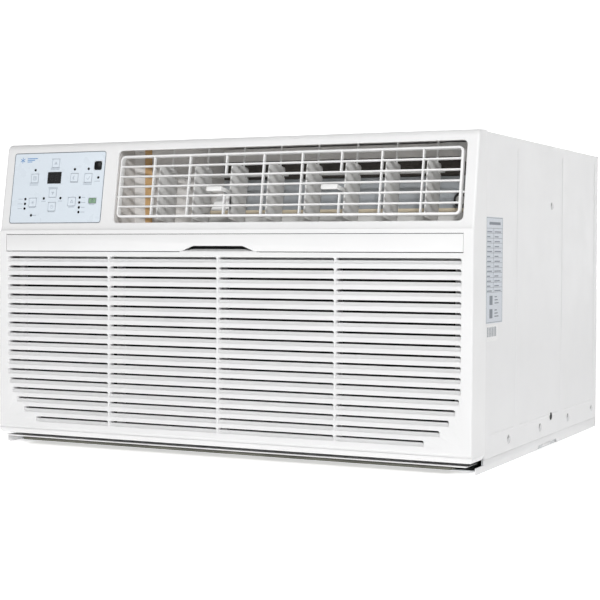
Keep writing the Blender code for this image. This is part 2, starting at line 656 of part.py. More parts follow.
def make_duct():
    middle, half = (DUCT_LOW + DUCT_HIGH) / 2, (DUCT_HIGH - DUCT_LOW) / 2
    duct = outline("outlet_duct", duct_plan(0), half, "XY", DUCT_FOAM, None, (0, 0, middle))
    hollow = outline("duct_hollow", duct_plan(DUCT_WALL), half - DUCT_WALL, "XY", None, None,
                     (0, 0, middle))
    (x0, x1), (y0, y1) = scroll_exit()
    mouth = boxes("duct_mouth", [((x0, x1), (y0 + DUCT_WALL, y1 - DUCT_WALL),
                                  (DUCT_LOW - 0.01, DUCT_LOW + 2 * DUCT_WALL))], None)
    trim = boxes("duct_trim", [((-WIDTH, WIDTH), (-0.05, PANEL_WALL + 2 * GAP), (-0.1, 0.2))],
                 None, FACE)
    opening = boxes("duct_opening", [((OUTLET_LEFT, OUTLET_RIGHT), (-0.05, 0.012),
                                      (FACE_MARGIN + 0.002, FACE_MARGIN + FACE_HEIGHT - 0.002))],
                    None, FACE)
    cut(duct, hollow, mouth, trim, opening)
    bore = (OUTLET_LEFT - 0.01, OUTLET_RIGHT + 0.01)
    return cut(duct, drum("louvre_pin_bore", FRAME_PIN_RADIUS + 0.0006, bore, "X", None, FACE,
                          (0, FRAME_PIN_SETBACK, FRAME_PIN_UP), 12))


def scroll_outline(inset):
    """Volute seen from the front, (x, z), opening upward."""
    base = WHEEL_RADIUS + SCROLL_CLEARANCE - inset
    (x0, x1), _ = scroll_exit()
    top = DUCT_LOW - GAP if inset == 0 else DUCT_LOW + 0.01
    points = []
    for step in range(21):
        share = step / 20
        angle = math.radians(185 + 170 * share)
        radius = base + SCROLL_GROWTH * (1 - share) * 0.5
        points.append((AXIS_X + radius * math.cos(angle), AXIS_Z + radius * math.sin(angle)))
    return points + [(x1 - inset + SCROLL_WALL, top), (x0 + inset - SCROLL_WALL, top)]


def make_scroll():
    half = SCROLL_DEPTH / 2
    y = FRONT + SCROLL_FRONT + half
    scroll = outline("blower_scroll", scroll_outline(0), half, "XZ", SCROLL_FOAM, None, (0, y, 0))
    hollow = outline("scroll_hollow", scroll_outline(SCROLL_WALL), half - SCROLL_WALL, "XZ",
                     None, None, (0, y, 0))
    inlet = drum("scroll_inlet", WHEEL_RADIUS - 0.010, (y - half - 0.01, y), "Y", None,
                 at=(AXIS_X, 0, AXIS_Z), sides=32)
    bore = drum("scroll_bore", SHAFT_RADIUS + 0.004, (y, y + half + 0.01), "Y", None,
                at=(AXIS_X, 0, AXIS_Z))
    return cut(scroll, hollow, inlet, bore)


def make_bulkhead():
    y = FRONT + BULKHEAD_PLACE
    plate = boxes("bulkhead", [((-INSIDE, INSIDE), (y, y + 0.002), (PAN_TOP, HEIGHT - 0.004))],
                  GALVANISED)
    side = boxes("bulkhead_flange_relief",
                 [((-INSIDE - 0.01, -INSIDE + PAN_SHEET + 3 * GAP), (y - 0.01, y + 0.01), (-0.01, 0.037)),
                  ((INSIDE - PAN_SHEET - 3 * GAP, INSIDE + 0.01), (y - 0.01, y + 0.01), (-0.01, 0.037))],
                 None)
    shaft = drum("bulkhead_bore", SHAFT_RADIUS + 0.004, (y - 0.01, y + 0.01), "Y", None,
                 at=(AXIS_X, 0, AXIS_Z))
    cut(plate, side, shaft)
    for label, x, z, radius in LINE_HOLES:
        cut(plate, drum(f"bulkhead_{label}", radius + 0.002, (y - 0.01, y + 0.01), "Y", None,
                        at=(x, 0, z), sides=12))
    return plate


# ---------------------------------------------------------------- fan
def make_fan():
    """Motor shaft with the blower wheel in front and the condenser fan behind."""
    wheel_y = FRONT + SCROLL_FRONT + 0.012
    fan_y = BACK - CONDENSER_PLACE - CONDENSER_DEPTH - 0.020 - FAN_DEPTH
    axis = (AXIS_X, 0, AXIS_Z)
    drum("fan_shaft", SHAFT_RADIUS, (wheel_y + 0.004, fan_y + FAN_DEPTH - 0.002), "Y",
         SHAFT_STEEL, at=axis, sides=16)
    back = wheel_y + WHEEL_DEPTH
    wheel = drum("blower_wheel", WHEEL_RADIUS, (back - 0.003, back), "Y", FAN_PLASTIC,
                 at=axis, sides=40)
    ring = drum("wheel_ring", WHEEL_RADIUS, (wheel_y, wheel_y + 0.004), "Y", None, at=axis, sides=40)
    cut(ring, drum("wheel_ring_eye", WHEEL_RADIUS - WHEEL_BLADE, (wheel_y - 0.01, wheel_y + 0.02),
                   "Y", None, at=axis, sides=40))
    blades = bmesh.new()
    for index in range(WHEEL_BLADES):
        turn = Matrix.Rotation(2 * math.pi * index / WHEEL_BLADES, 4, "Y")
        lean = Matrix.Rotation(math.radians(28), 4, "Y")
        out = Matrix.Translation((WHEEL_RADIUS - WHEEL_BLADE / 2 - 0.001,
                                  (wheel_y + back) / 2, 0))
        size = Matrix.Diagonal((WHEEL_BLADE * 0.86, back - wheel_y - 0.003, 0.0014, 1))
        bmesh.ops.create_cube(blades, size=1.0, matrix=turn @ out @ lean @ size)
    mesh = bpy.data.meshes.new("wheel_blades")
    blades.to_mesh(mesh)
    blades.free()
    blade_set = place(bpy.data.objects.new("wheel_blades", mesh), None, None, axis)
    hub = drum("wheel_hub", 0.014, (back - 0.024, back - 0.001), "Y", None, at=axis)
    bore = drum("wheel_bore", SHAFT_RADIUS + GAP, (wheel_y - 0.02, back + 0.02), "Y", None,
                at=axis, sides=16)
    join(wheel, ring, blade_set, hub)
    cut(wheel, bore)
    fan = drum("condenser_fan", 0.028, (fan_y, fan_y + FAN_DEPTH), "Y", FAN_PLASTIC, at=axis)
    ring = drum("slinger_ring", FAN_RADIUS, (fan_y + 0.010, fan_y + 0.018), "Y", None,
                at=axis, sides=48)
    cut(ring, drum("slinger_eye", FAN_RADIUS - 0.0025, (fan_y, fan_y + 0.03), "Y", None,
                   at=axis, sides=48))
    join(fan, ring)
    for index in range(FAN_BLADES):
        turn = Matrix.Rotation(2 * math.pi * index / FAN_BLADES, 4, "Y")
        reach = FAN_RADIUS - 0.001 - 0.022
        place_out = Matrix.Translation((0.022 + reach / 2, fan_y + FAN_DEPTH / 2, 0))
        pitch = Matrix.Rotation(math.radians(20), 4, "X")
        blade = bmesh.new()
        size = Matrix.Diagonal((reach, 0.002, 0.060, 1))
        bmesh.ops.create_cube(blade, size=1.0, matrix=turn @ place_out @ pitch @ size)
        mesh = bpy.data.meshes.new(f"fan_blade_{index}")
        blade.to_mesh(mesh)
        blade.free()
        join(fan, place(bpy.data.objects.new(f"fan_blade_{index}", mesh), None, None, axis))
    cut(fan, drum("fan_bore", SHAFT_RADIUS + GAP, (fan_y - 0.02, fan_y + 0.05), "Y", None,
                  at=axis, sides=16))


def make_motor():
    y0 = FRONT + BULKHEAD_PLACE + 0.012
    y1 = y0 + MOTOR_LENGTH
    axis = (AXIS_X, 0, AXIS_Z)
    motor = drum("fan_motor", MOTOR_RADIUS, (y0, y1), "Y", BLACK_PAINT, at=axis, sides=32)
    cut(motor, drum("motor_bore", SHAFT_RADIUS + RUN, (y0 - 0.02, y1 + 0.02), "Y", None,
                    at=axis, sides=16))
    mid = (y0 + y1) / 2
    bracket = boxes("motor_bracket", [((AXIS_X - 0.045, AXIS_X + 0.045), (mid - 0.02, mid + 0.02),
                                       (PAN_TOP, AXIS_Z - 0.02))], GALVANISED)
    cut(bracket, drum("motor_cradle", MOTOR_RADIUS + GAP, (y0, y1), "Y", None, at=axis, sides=32))
    inside = boxes("bracket_window", [((AXIS_X - 0.035, AXIS_X + 0.035), (mid - 0.05, mid + 0.05),
                                       (PAN_TOP + 0.004, AXIS_Z - MOTOR_RADIUS - 0.010))], None)
    return cut(bracket, inside)


# ---------------------------------------------------------------- coils and their lines
def make_coil(name, y0, y1, z0, z1):
    """A fin pack with its return bends standing out at the right."""
    left, right = -HALF + COIL_LINE_ROOM, HALF - COIL_BEND_ROOM
    pack = boxes(name, [((left, right), (y0, y1), (z0, z1))], ALUMINIUM_FINS)
    pitch = (z1 - z0) / COIL_BENDS
    y = (y0 + y1) / 2
    for index in range(COIL_BENDS):
        z = z0 + (index + 0.5) * pitch
        bend = outline(f"{name}_bend_{index}",
                       [(right - 0.004, z - COIL_BEND_RADIUS)]
                       + arc((right + 0.001, z), COIL_BEND_RADIUS, -90, 90, 6)
                       + [(right - 0.004, z + COIL_BEND_RADIUS)],
                       COIL_TUBE / 2, "XZ", None, None, (0, y, 0))
        join(pack, bend)
    return pack


EVAPORATOR_Y = (FRONT + COIL_PLACE, FRONT + COIL_PLACE + COIL_DEPTH)
EVAPORATOR_Z = (0.016, 0.238)
CONDENSER_Y = (BACK - CONDENSER_PLACE - CONDENSER_DEPTH, BACK - CONDENSER_PLACE)
CONDENSER_Z = (PAN_TOP, 0.335)
COIL_LEFT = -HALF + COIL_LINE_ROOM
LINE_X = COIL_LEFT - 0.020
SUCTION_Z, CAPILLARY_Z, DISCHARGE_Z = 0.100, 0.060, 0.290
SUCTION_RADIUS, DISCHARGE_RADIUS, CAPILLARY_RADIUS = 0.0048, 0.0040, 0.0014
LINE_HOLES = (("suction_hole", LINE_X, SUCTION_Z, SUCTION_RADIUS),
              ("capillary_hole", LINE_X, CAPILLARY_Z, CAPILLARY_RADIUS))
ACCUMULATOR_X = COMPRESSOR_X + COMPRESSOR_RADIUS + ACCUMULATOR_RADIUS + 0.008
ACCUMULATOR_FOOT = 0.085
COMPRESSOR_FOOT = PAN_TOP + GROMMET_HEIGHT + GAP


def make_lines():
    evaporator_y = sum(EVAPORATOR_Y) / 2
    condenser_y = sum(CONDENSER_Y) / 2
    top = ACCUMULATOR_FOOT + ACCUMULATOR_HEIGHT + GAP
    pipe("suction_line", rounded_route([
        (COIL_LEFT - GAP, evaporator_y, SUCTION_Z), (LINE_X, evaporator_y, SUCTION_Z),
        (LINE_X, COMPRESSOR_Y - 0.045, SUCTION_Z),
        (LINE_X, COMPRESSOR_Y - 0.045, top + 0.030),
        (ACCUMULATOR_X, COMPRESSOR_Y, top + 0.030), (ACCUMULATOR_X, COMPRESSOR_Y, top)],
        0.012), SUCTION_RADIUS, COPPER)
    dome = COMPRESSOR_FOOT + COMPRESSOR_HEIGHT + GAP
    pipe("discharge_line", rounded_route([
        (COMPRESSOR_X, COMPRESSOR_Y, dome), (COMPRESSOR_X, COMPRESSOR_Y, DISCHARGE_Z),
        (LINE_X, COMPRESSOR_Y + 0.030, DISCHARGE_Z), (LINE_X, condenser_y, DISCHARGE_Z),
        (COIL_LEFT - GAP, condenser_y, DISCHARGE_Z)], 0.012), DISCHARGE_RADIUS, COPPER)
    pipe("capillary_tube", rounded_route([
        (COIL_LEFT - GAP, condenser_y, CAPILLARY_Z), (LINE_X, condenser_y, CAPILLARY_Z),
        (LINE_X, evaporator_y, CAPILLARY_Z), (COIL_LEFT - GAP, evaporator_y, CAPILLARY_Z)],
        0.012), CAPILLARY_RADIUS, COPPER)


def make_compressor():
    base = (COMPRESSOR_X, COMPRESSOR_Y, COMPRESSOR_FOOT)
    r, h = COMPRESSOR_RADIUS, COMPRESSOR_HEIGHT
    profile = [(0, h), (0.5 * r, h - 0.003), (0.82 * r, h - 0.014), (r, h - 0.034),
               (r, 0.030), (0.88 * r, 0.012), (0.6 * r, 0.002), (0, 0.002)]
    shell = turned("compressor", profile, BLACK_PAINT, None, base, steps=28)
    feet = [(GROMMET_CIRCLE * math.cos(a), GROMMET_CIRCLE * math.sin(a))
            for a in (math.radians(90 + 120 * i) for i in range(3))]
    corners = []
    for index, (x, y) in enumerate(feet):
        corners += arc((x, y), 0.012, 30 + 120 * index, 150 + 120 * index, 4)
    join(shell, outline("compressor_plate", corners, 0.0015, "XY", None, None,
                        (base[0], base[1], base[2] + 0.0035)))
    for index, (x, y) in enumerate(feet):
        ring = [(0.0035, GROMMET_HEIGHT), (GROMMET_RADIUS * 0.8, GROMMET_HEIGHT),
                (GROMMET_RADIUS * 0.8, 0.006), (GROMMET_RADIUS, 0.004), (GROMMET_RADIUS, 0),
                (0.0035, 0), (0.0035, GROMMET_HEIGHT)]
        turned(f"compressor_grommet_{index + 1}", ring, RUBBER, None,
               (base[0] + x, base[1] + y, PAN_TOP), steps=16)
    r, h = ACCUMULATOR_RADIUS, ACCUMULATOR_HEIGHT
    turned("accumulator", [(0, h), (0.4 * r, h), (0.5 * r, h - 0.010), (r, h - 0.024), (r, 0.024),
                           (0.5 * r, 0.010), (0.4 * r, 0), (0, 0)], BLACK_PAINT, None,
           (ACCUMULATOR_X, COMPRESSOR_Y, ACCUMULATOR_FOOT), steps=18)


def make_shroud():
    y = CONDENSER_Y[0] - 0.0335
    left, right = COIL_LEFT + 0.004, HALF - COIL_BEND_ROOM
    shroud = boxes("fan_shroud", [((left, right), (y, y + 0.032), (PAN_TOP, CONDENSER_Z[1]))],
                   GALVANISED)
    hollow = boxes("shroud_hollow", [((left + 0.0015, right - 0.0015), (y + 0.0015, y + 0.05),
                                      (PAN_TOP + 0.0015, CONDENSER_Z[1] - 0.0015))], None)
    eye = drum("shroud_eye", FAN_RADIUS + 0.006, (y - 0.02, y + 0.02), "Y", None,
               at=(AXIS_X, 0, AXIS_Z), sides=48)
    return cut(shroud, hollow, eye)


# ---------------------------------------------------------------- filter, control box
def make_filter():
    y0 = FRONT + FILTER_PLACE
    y1 = y0 + FILTER_THICKNESS
    half, low, high = HALF - 0.018, 0.018, DOOR_FOOT - 0.003
    frame = boxes("filter_frame", [((-half, half), (y0, y1), (low, high))], WHITE_PLASTIC)
    border = FILTER_BORDER
    wide = (2 * half - 5 * border) / 4
    spans = []
    for index in range(4):
        left = -half + border + index * (wide + border)
        spans.append(((left, left + wide), (y0 - 0.01, y1 + 0.01), (low + border, high - border)))
    cut(frame, boxes("filter_openings", spans, None))
    y = y1 + GAP
    inset = border / 2
    boxes("filter_screen", [((-half + inset, half - inset), (y, y + SCREEN_THICKNESS),
                             (low + inset, high - inset))], FILTER_MESH)


def make_control_box():
    left, right = -INSIDE + 0.003, OUTLET_LEFT - DUCT_WALL - 0.006
    y0, y1 = FRONT + 0.030, FRONT + 0.150
    z0, z1 = LEAN_FOOT.z - 0.004, HEIGHT - 0.010
    box = boxes("control_box", [((left, right), (y0, y1), (z0, z1))], GALVANISED)
    wall = 0.0012
    cut(box, boxes("box_hollow", [((left + wall, right - wall), (y0 - 0.01, y1 - wall),
                                   (z0 + wall, z1 - wall))], None))
    boxes("control_board", [((left + 0.008, right - 0.008), (y0 + 0.002, y0 + 0.0036),
                             (z0 + 0.006, z1 - 0.006))], BOARD_GREEN)
    drum("run_capacitor", 0.018, (y0 + 0.030, y0 + 0.090), "Y", CAPACITOR_CAN,
         at=((left + right) / 2, 0, z0 + wall + 0.018 + GAP), sides=20)


# ---------------------------------------------------------------- case
def make_cover():
    """Folded sheet over the top and both sides, with pressed beads on the sides."""
    outer = [(-CASE_SIDE, COVER_FOOT)] + [(CASE_SIDE, COVER_FOOT)]
    outer += arc((CASE_SIDE - COVER_RADIUS, HEIGHT - COVER_RADIUS), COVER_RADIUS, 0, 90, 4)
    outer += arc((-CASE_SIDE + COVER_RADIUS, HEIGHT - COVER_RADIUS), COVER_RADIUS, 90, 180, 4)
    y0, y1 = SEAM + GAP, BACK - GAP - SHEET
    half = (y1 - y0) / 2
    cover = outline("cabinet_cover", outer, half, "XZ", PAINTED_STEEL, None, (0, (y0 + y1) / 2, 0))
    side, radius = CASE_SIDE - SHEET, COVER_RADIUS - SHEET
    inner = [(-side, COVER_FOOT - 0.01), (side, COVER_FOOT - 0.01)]
    inner += arc((side - radius, HEIGHT - COVER_RADIUS), radius, 0, 90, 4)
    inner += arc((-side + radius, HEIGHT - COVER_RADIUS), radius, 90, 180, 4)
    cut(cover, outline("cover_hollow", inner, DEPTH, "XZ", None))
    for index, behind in enumerate((BEAD_FRONT, BEAD_MIDDLE, BEAD_REAR)):
        y = SEAM + behind
        for sign in (-1, 1):
            x = sorted((sign * (CASE_SIDE - SHEET / 2), sign * HALF))
            bead = boxes(f"bead_{index}_{sign}", [(x, (y - BEAD_WIDTH / 2, y + BEAD_WIDTH / 2),
                                                   (BEAD_FOOT, HEIGHT - BEAD_TOP_MARGIN))], None)
            join(cover, bead)
    return cover


def make_base_pan():
    """Folded pan: a skirt under the cover's edge and a flange inside the cover."""
    y0, y1 = SEAM + GAP, BACK - 2 * GAP - SHEET
    skirt = boxes("base_pan", [((-CASE_SIDE, CASE_SIDE), (y0, y1), (0, COVER_FOOT - GAP))],
                  PAINTED_STEEL)
    flange = boxes("pan_flange", [((-INSIDE, INSIDE), (y0, y1), (0.001, PAN_FLANGE))], None)
    hollow = boxes("pan_hollow", [((-INSIDE + PAN_SHEET, INSIDE - PAN_SHEET),
                                   (y0 - 0.01, y1 + 0.01), (PAN_SHEET, PAN_FLANGE + 0.01))], None)
    notch_y = (SEAM + NOTCH_START, SEAM + NOTCH_START + NOTCH_LENGTH)
    depth = CASE_SIDE - INSIDE
    notches = boxes("pan_notches", [((-HALF - 0.01, -HALF + depth), notch_y, (-0.01, NOTCH_RISE)),
                                    ((HALF - depth, HALF + 0.01), notch_y, (-0.01, NOTCH_RISE))],
                    None)
    nose_side, nose_front = HALF - PAN_NOSE_MARGIN, FRONT + PAN_NOSE_SETBACK
    nose = boxes("pan_nose", [((-nose_side, nose_side), (nose_front, y0 + PAN_SHEET),
                               (PAN_NOSE_LIFT, PAN_NOSE_LIFT + PAN_SHEET))], None)
    lip = boxes("pan_lip", [((-nose_side, nose_side), (nose_front, nose_front + PAN_SHEET),
                             (PAN_NOSE_LIFT, PANEL_LIFT - GAP))], None)
    step = boxes("pan_step", [((-nose_side, nose_side), (y0, y0 + PAN_SHEET),
                               (0, PAN_NOSE_LIFT + PAN_SHEET))], None)
    cheek_y = (FRONT + PAN_CHEEK_SETBACK, y0 + PAN_SHEET)
    cheeks = boxes("pan_cheeks", [((side * CASE_SIDE - PAN_SHEET * (side > 0),
                                    side * CASE_SIDE + PAN_SHEET * (side < 0)),
                                   cheek_y, (0, PANEL_LIFT - GAP)) for side in (-1, 1)], None)
    join(skirt, flange)
    cut(skirt, hollow, notches)
    return join(skirt, nose, lip, step, cheeks)


def make_rear_grille():
    """Rear steel guard with rows of slots for the condenser's air."""
    y0, y1 = BACK - SHEET, BACK
    z0, z1 = GAP, HEIGHT - GAP
    guard = boxes("rear_grille", [((-CASE_SIDE, CASE_SIDE), (y0, y1), (z0, z1))], PAINTED_STEEL)
    columns, rows, margin, rib = 12, 3, 0.030, 0.016
    wide = (2 * CASE_SIDE - 2 * margin - (columns - 1) * rib) / columns
    tall = (z1 - z0 - 2 * margin - (rows - 1) * rib) / rows
    spans = []
    for column in range(columns):
        x = -CASE_SIDE + margin + column * (wide + rib)
        for row in range(rows):
            z = z0 + margin + row * (tall + rib)
            spans.append(((x, x + wide), (y0 - 0.01, y1 + 0.01), (z, z + tall)))
    return cut(guard, boxes("guard_slots", spans, None))


def make_cord_gland():
    """Ring in the left flange of the bulkhead's front side where a supply lead would enter."""
    ring = [(0.0045, 0.010), (0.0075, 0.010), (0.0085, 0.007), (0.0085, 0.0), (0.0045, 0.0),
            (0.0045, 0.010)]
    gland = turned("cord_gland", ring, RUBBER, None,
                   (-HALF + 0.080, SEAM + 0.012, PAN_TOP), steps=16)
    return gland


make_front_panel()
make_controls()
make_filter_door()
make_louvre_frame()
make_vanes()
make_duct()
make_scroll()
make_bulkhead()
make_fan()
make_motor()
make_coil("evaporator_coil", *EVAPORATOR_Y, *EVAPORATOR_Z)
make_coil("condenser_coil", *CONDENSER_Y, *CONDENSER_Z)
make_lines()
make_compressor()
make_shroud()
make_filter()
make_control_box()
make_cover()
make_base_pan()
make_rear_grille()
make_cord_gland()
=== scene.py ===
"""Looks of the sleeve air conditioner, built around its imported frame."""
import json
import math

import bmesh
import bpy
from mathutils import Matrix, Vector


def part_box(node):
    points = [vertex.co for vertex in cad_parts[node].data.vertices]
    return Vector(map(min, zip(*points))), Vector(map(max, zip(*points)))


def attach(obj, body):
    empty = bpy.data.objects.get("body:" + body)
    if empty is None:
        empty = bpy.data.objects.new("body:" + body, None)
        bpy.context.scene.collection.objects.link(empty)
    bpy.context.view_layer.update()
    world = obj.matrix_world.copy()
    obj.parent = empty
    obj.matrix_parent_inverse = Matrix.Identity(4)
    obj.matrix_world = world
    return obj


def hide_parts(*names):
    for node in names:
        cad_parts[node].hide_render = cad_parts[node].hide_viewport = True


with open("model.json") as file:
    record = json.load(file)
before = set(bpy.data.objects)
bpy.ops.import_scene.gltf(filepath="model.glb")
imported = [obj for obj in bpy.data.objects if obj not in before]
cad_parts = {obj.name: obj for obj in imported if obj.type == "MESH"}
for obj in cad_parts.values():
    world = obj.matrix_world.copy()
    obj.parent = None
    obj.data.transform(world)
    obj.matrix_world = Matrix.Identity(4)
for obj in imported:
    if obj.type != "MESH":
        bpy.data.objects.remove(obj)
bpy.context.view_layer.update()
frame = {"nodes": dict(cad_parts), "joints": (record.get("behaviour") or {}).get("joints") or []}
NODES = frame["nodes"]
JOINTS = {joint["name"]: joint for joint in frame["joints"]}

# ---------------------------------------------------------------- places read from the frame
PANEL_LOW, PANEL_HIGH = (Vector(corner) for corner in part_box("front_panel"))
COVER_LOW = Vector(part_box("cabinet_cover")[0])
FRONT, SEAM, TOP, HALF = PANEL_LOW.y, PANEL_HIGH.y, PANEL_HIGH.z, PANEL_HIGH.x
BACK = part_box("rear_grille")[1][1]
CASE_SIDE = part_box("rear_grille")[1][0]
SWING_AXIS = Vector(JOINTS["vane_3_swing"]["axis"])
LEAN = math.atan2(SWING_AXIS.y, SWING_AXIS.z)
LEAN_STEP = 0.0025
LEAN_HEIGHT = 0.1045
FACE_FOOT = Vector((0, FRONT + LEAN_STEP, TOP - LEAN_HEIGHT))
FACE = Matrix.Translation(FACE_FOOT) @ Matrix.Rotation(-LEAN, 4, "X")
FACE_BACK = FACE.inverted()

PANEL_WALL = 0.0025
PANEL_FOOT = PANEL_LOW.z
SLOT_ROWS, SLOT_PITCH, SLOT_HEIGHT = 18, 0.01146, 0.006
SLOT_REACH = HALF - 0.0125
SLOT_CORNER_RADIUS, SLOT_CORNER_HEIGHT = 0.0715, 0.098
SLOT_RIB = 0.002
SLOT_DEPTH = 0.0105
SLOT_RAMP, SLOT_SILL = 0.0040, 0.0033
DOOR_LOW, DOOR_HIGH = (Vector(corner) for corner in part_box("filter_door"))
SLOT_TOP = DOOR_LOW.z - 0.0065


def on_face(point):
    """A point of the frame in the leaning face's own axes: right, inward, up."""
    return FACE_BACK @ Vector(point)


def face_box(node):
    """A node's box in the leaning face's axes."""
    mesh = NODES[node].data
    points = [FACE_BACK @ vertex.co for vertex in mesh.vertices]
    low = Vector([min(p[i] for p in points) for i in range(3)])
    high = Vector([max(p[i] for p in points) for i in range(3)])
    return low, high


OVERLAY_LOW, OVERLAY_HIGH = face_box("control_overlay")
GRID_LOW, GRID_HIGH = face_box("louvre_frame")
PIN = on_face(JOINTS["louvre_tilt"]["pos_m"])
UPRIGHTS = [on_face(JOINTS[f"vane_{i + 1}_swing"]["pos_m"]).x for i in range(8)]
OUTLET_WIDTH = 0.4365
OUTLET_MIDDLE = PIN.x
FACE_LOW, FACE_HIGH = OVERLAY_LOW.z, OVERLAY_HIGH.z

# ---------------------------------------------------------------- finishes


class Finish:
    """A Principled material with short calls for its texture nodes."""

    def __init__(self, name, colour, roughness, metallic=0.0, **sockets):
        self.mat = bpy.data.materials.new(name)
        self.mat.use_nodes = True
        self.tree = self.mat.node_tree
        self.shader = self.tree.nodes["Principled BSDF"]
        self.shader.inputs["Base Color"].default_value = (*colour, 1)
        self.shader.inputs["Roughness"].default_value = roughness
        self.shader.inputs["Metallic"].default_value = metallic
        for socket, value in sockets.items():
            self.shader.inputs[socket.replace("_", " ")].default_value = value
        self.colour, self.roughness = colour, roughness
        self.last_normal = None

    def node(self, kind, **values):
        node = self.tree.nodes.new(kind)
        for key, value in values.items():
            if hasattr(node, key):
                setattr(node, key, value)
            else:
                node.inputs[key.replace("_", " ")].default_value = value
        return node

    def link(self, source, target):
        self.tree.links.new(source, target)

    def where(self, stretch=(1, 1, 1)):
        place = self.node("ShaderNodeTexCoord")
        mapping = self.node("ShaderNodeMapping")
        mapping.inputs["Scale"].default_value = stretch
        self.link(place.outputs["Object"], mapping.inputs["Vector"])
        return mapping.outputs["Vector"]

    def noise(self, scale, detail=3.0, stretch=(1, 1, 1)):
        node = self.node("ShaderNodeTexNoise", Scale=scale, Detail=detail)
        self.link(self.where(stretch), node.inputs["Vector"])
        return node.outputs["Fac"]

    def spread(self, source, low, high):
        node = self.node("ShaderNodeMapRange")
        node.inputs["From Min"].default_value = 0.3
        node.inputs["From Max"].default_value = 0.7
        node.inputs["To Min"].default_value = low
        node.inputs["To Max"].default_value = high
        self.link(source, node.inputs["Value"])
        return node.outputs["Result"]

    def vary(self, source, darker):
        """Mix towards a slightly darker or tinted colour where the pattern is low."""
        mix = self.node("ShaderNodeMix", data_type="RGBA")
        mix.inputs["A"].default_value = (*darker, 1)
        mix.inputs["B"].default_value = (*self.colour, 1)
        self.link(self.spread(source, 0.0, 1.0), mix.inputs["Factor"])
        self.link(mix.outputs["Result"], self.shader.inputs["Base Color"])
        return self

    def rough(self, source, low, high):
        self.link(self.spread(source, low, high), self.shader.inputs["Roughness"])
        return self

    def bump(self, source, strength, distance):
        node = self.node("ShaderNodeBump", Strength=strength, Distance=distance)
        self.link(source, node.inputs["Height"])
        if self.last_normal:
            self.link(self.last_normal, node.inputs["Normal"])
        self.link(node.outputs["Normal"], self.shader.inputs["Normal"])
        self.last_normal = node.outputs["Normal"]
        return self


def moulded(name, colour, roughness, grain=2600.0, strength=0.12):
    """Moulded plastic: fine spark grain, faint flow variation and handling marks."""
    made = Finish(name, colour, roughness)
    tint = [c * 0.975 for c in colour]
    made.vary(made.noise(14.0, 2.0), tint)
    made.rough(made.noise(55.0, 4.0), roughness - 0.05, roughness + 0.06)
    return made.bump(made.noise(grain, 2.0), strength, 0.00012).mat


def powder_coat(name, colour, roughness):
    """Powder coat on sheet steel: orange peel over a faint panel waviness."""
    made = Finish(name, colour, roughness, Coat_Weight=0.15, Coat_Roughness=0.25)
    made.vary(made.noise(6.0, 2.0), [c * 0.98 for c in colour])
    made.rough(made.noise(40.0, 4.0), roughness - 0.06, roughness + 0.06)
    made.bump(made.noise(9.0, 1.0), 0.10, 0.002)
    return made.bump(made.noise(900.0, 2.0), 0.10, 0.00015).mat


def foam(name, colour):
    """Expanded foam: beads pressed together, matt."""
    made = Finish(name, colour, 0.88)
    cells = made.node("ShaderNodeTexVoronoi", Scale=420.0)
    made.link(made.where(), cells.inputs["Vector"])
    made.vary(made.noise(30.0, 3.0), [c * 0.86 for c in colour])
    return made.bump(cells.outputs["Distance"], 0.5, 0.0006).mat


def sheet_steel(name, colour):
    """Galvanised steel: spangles and a dull, uneven shine."""
    made = Finish(name, colour, 0.38, 0.9)
    flakes = made.node("ShaderNodeTexVoronoi", Scale=90.0)
    made.link(made.where(), flakes.inputs["Vector"])
    grey = made.node("ShaderNodeSeparateColor")
    made.link(flakes.outputs["Color"], grey.inputs["Color"])
    made.vary(grey.outputs["Red"], [c * 0.84 for c in colour])
    return made.rough(made.noise(120.0, 3.0), 0.30, 0.48).mat


def drawn_metal(name, colour, roughness, axis_stretch):
    """Metal drawn or turned along one way: fine lines and a tarnish."""
    made = Finish(name, colour, roughness, 1.0)
    made.vary(made.noise(30.0, 4.0), [c * 0.72 for c in colour])
    made.rough(made.noise(300.0, 2.0, axis_stretch), roughness - 0.07, roughness + 0.10)
    return made.bump(made.noise(900.0, 2.0, axis_stretch), 0.08, 0.0002).mat


def fin_stock(name, colour):
    """Coil face: close upright fins crossed by faint rows of tubes; the dark bands are painted shade in
    the gaps between the fins.
    """
    made = Finish(name, colour, 0.42, 0.85)
    fins = made.node("ShaderNodeTexWave", wave_type="BANDS", bands_direction="X", Scale=110.0,
                     Distortion=0.4, Detail=1.0)
    made.link(made.where(), fins.inputs["Vector"])
    # painted shade: darker bands where the gaps between the fins fall into shade
    made.vary(fins.outputs["Fac"], [c * 0.22 for c in colour])
    rows = made.node("ShaderNodeTexWave", wave_type="BANDS", bands_direction="Z", Scale=12.5)
    made.link(made.where(), rows.inputs["Vector"])
    made.bump(rows.outputs["Fac"], 0.25, 0.001)
    return made.bump(fins.outputs["Fac"], 0.9, 0.0015).mat


def enamel(name, colour, roughness):
    """Thick shop enamel: low orange peel and patches of dust."""
    made = Finish(name, colour, roughness)
    made.vary(made.noise(22.0, 5.0), [min(1.0, c * 1.9 + 0.01) for c in colour])
    return made.bump(made.noise(500.0, 2.0), 0.15, 0.0003).mat


def cloth_screen(name, colour):
    """Woven nylon filter cloth: crossed threads."""
    made = Finish(name, colour, 0.85)
    warp = made.node("ShaderNodeTexWave", bands_direction="X", Scale=260.0)
    weft = made.node("ShaderNodeTexWave", bands_direction="Z", Scale=260.0)
    for threads in (warp, weft):
        made.link(made.where(), threads.inputs["Vector"])
    both = made.node("ShaderNodeMath", operation="MAXIMUM")
    made.link(warp.outputs["Fac"], both.inputs[0])
    made.link(weft.outputs["Fac"], both.inputs[1])
    made.vary(both.outputs["Value"], [c * 0.35 for c in colour])
    return made.bump(both.outputs["Value"], 0.8, 0.0004).mat


def printed(name, colour, roughness=0.4):
    """Ink or a painted mark, slightly uneven."""
    made = Finish(name, colour, roughness)
    return made.vary(made.noise(700.0, 3.0), [c * 0.86 for c in colour]).mat


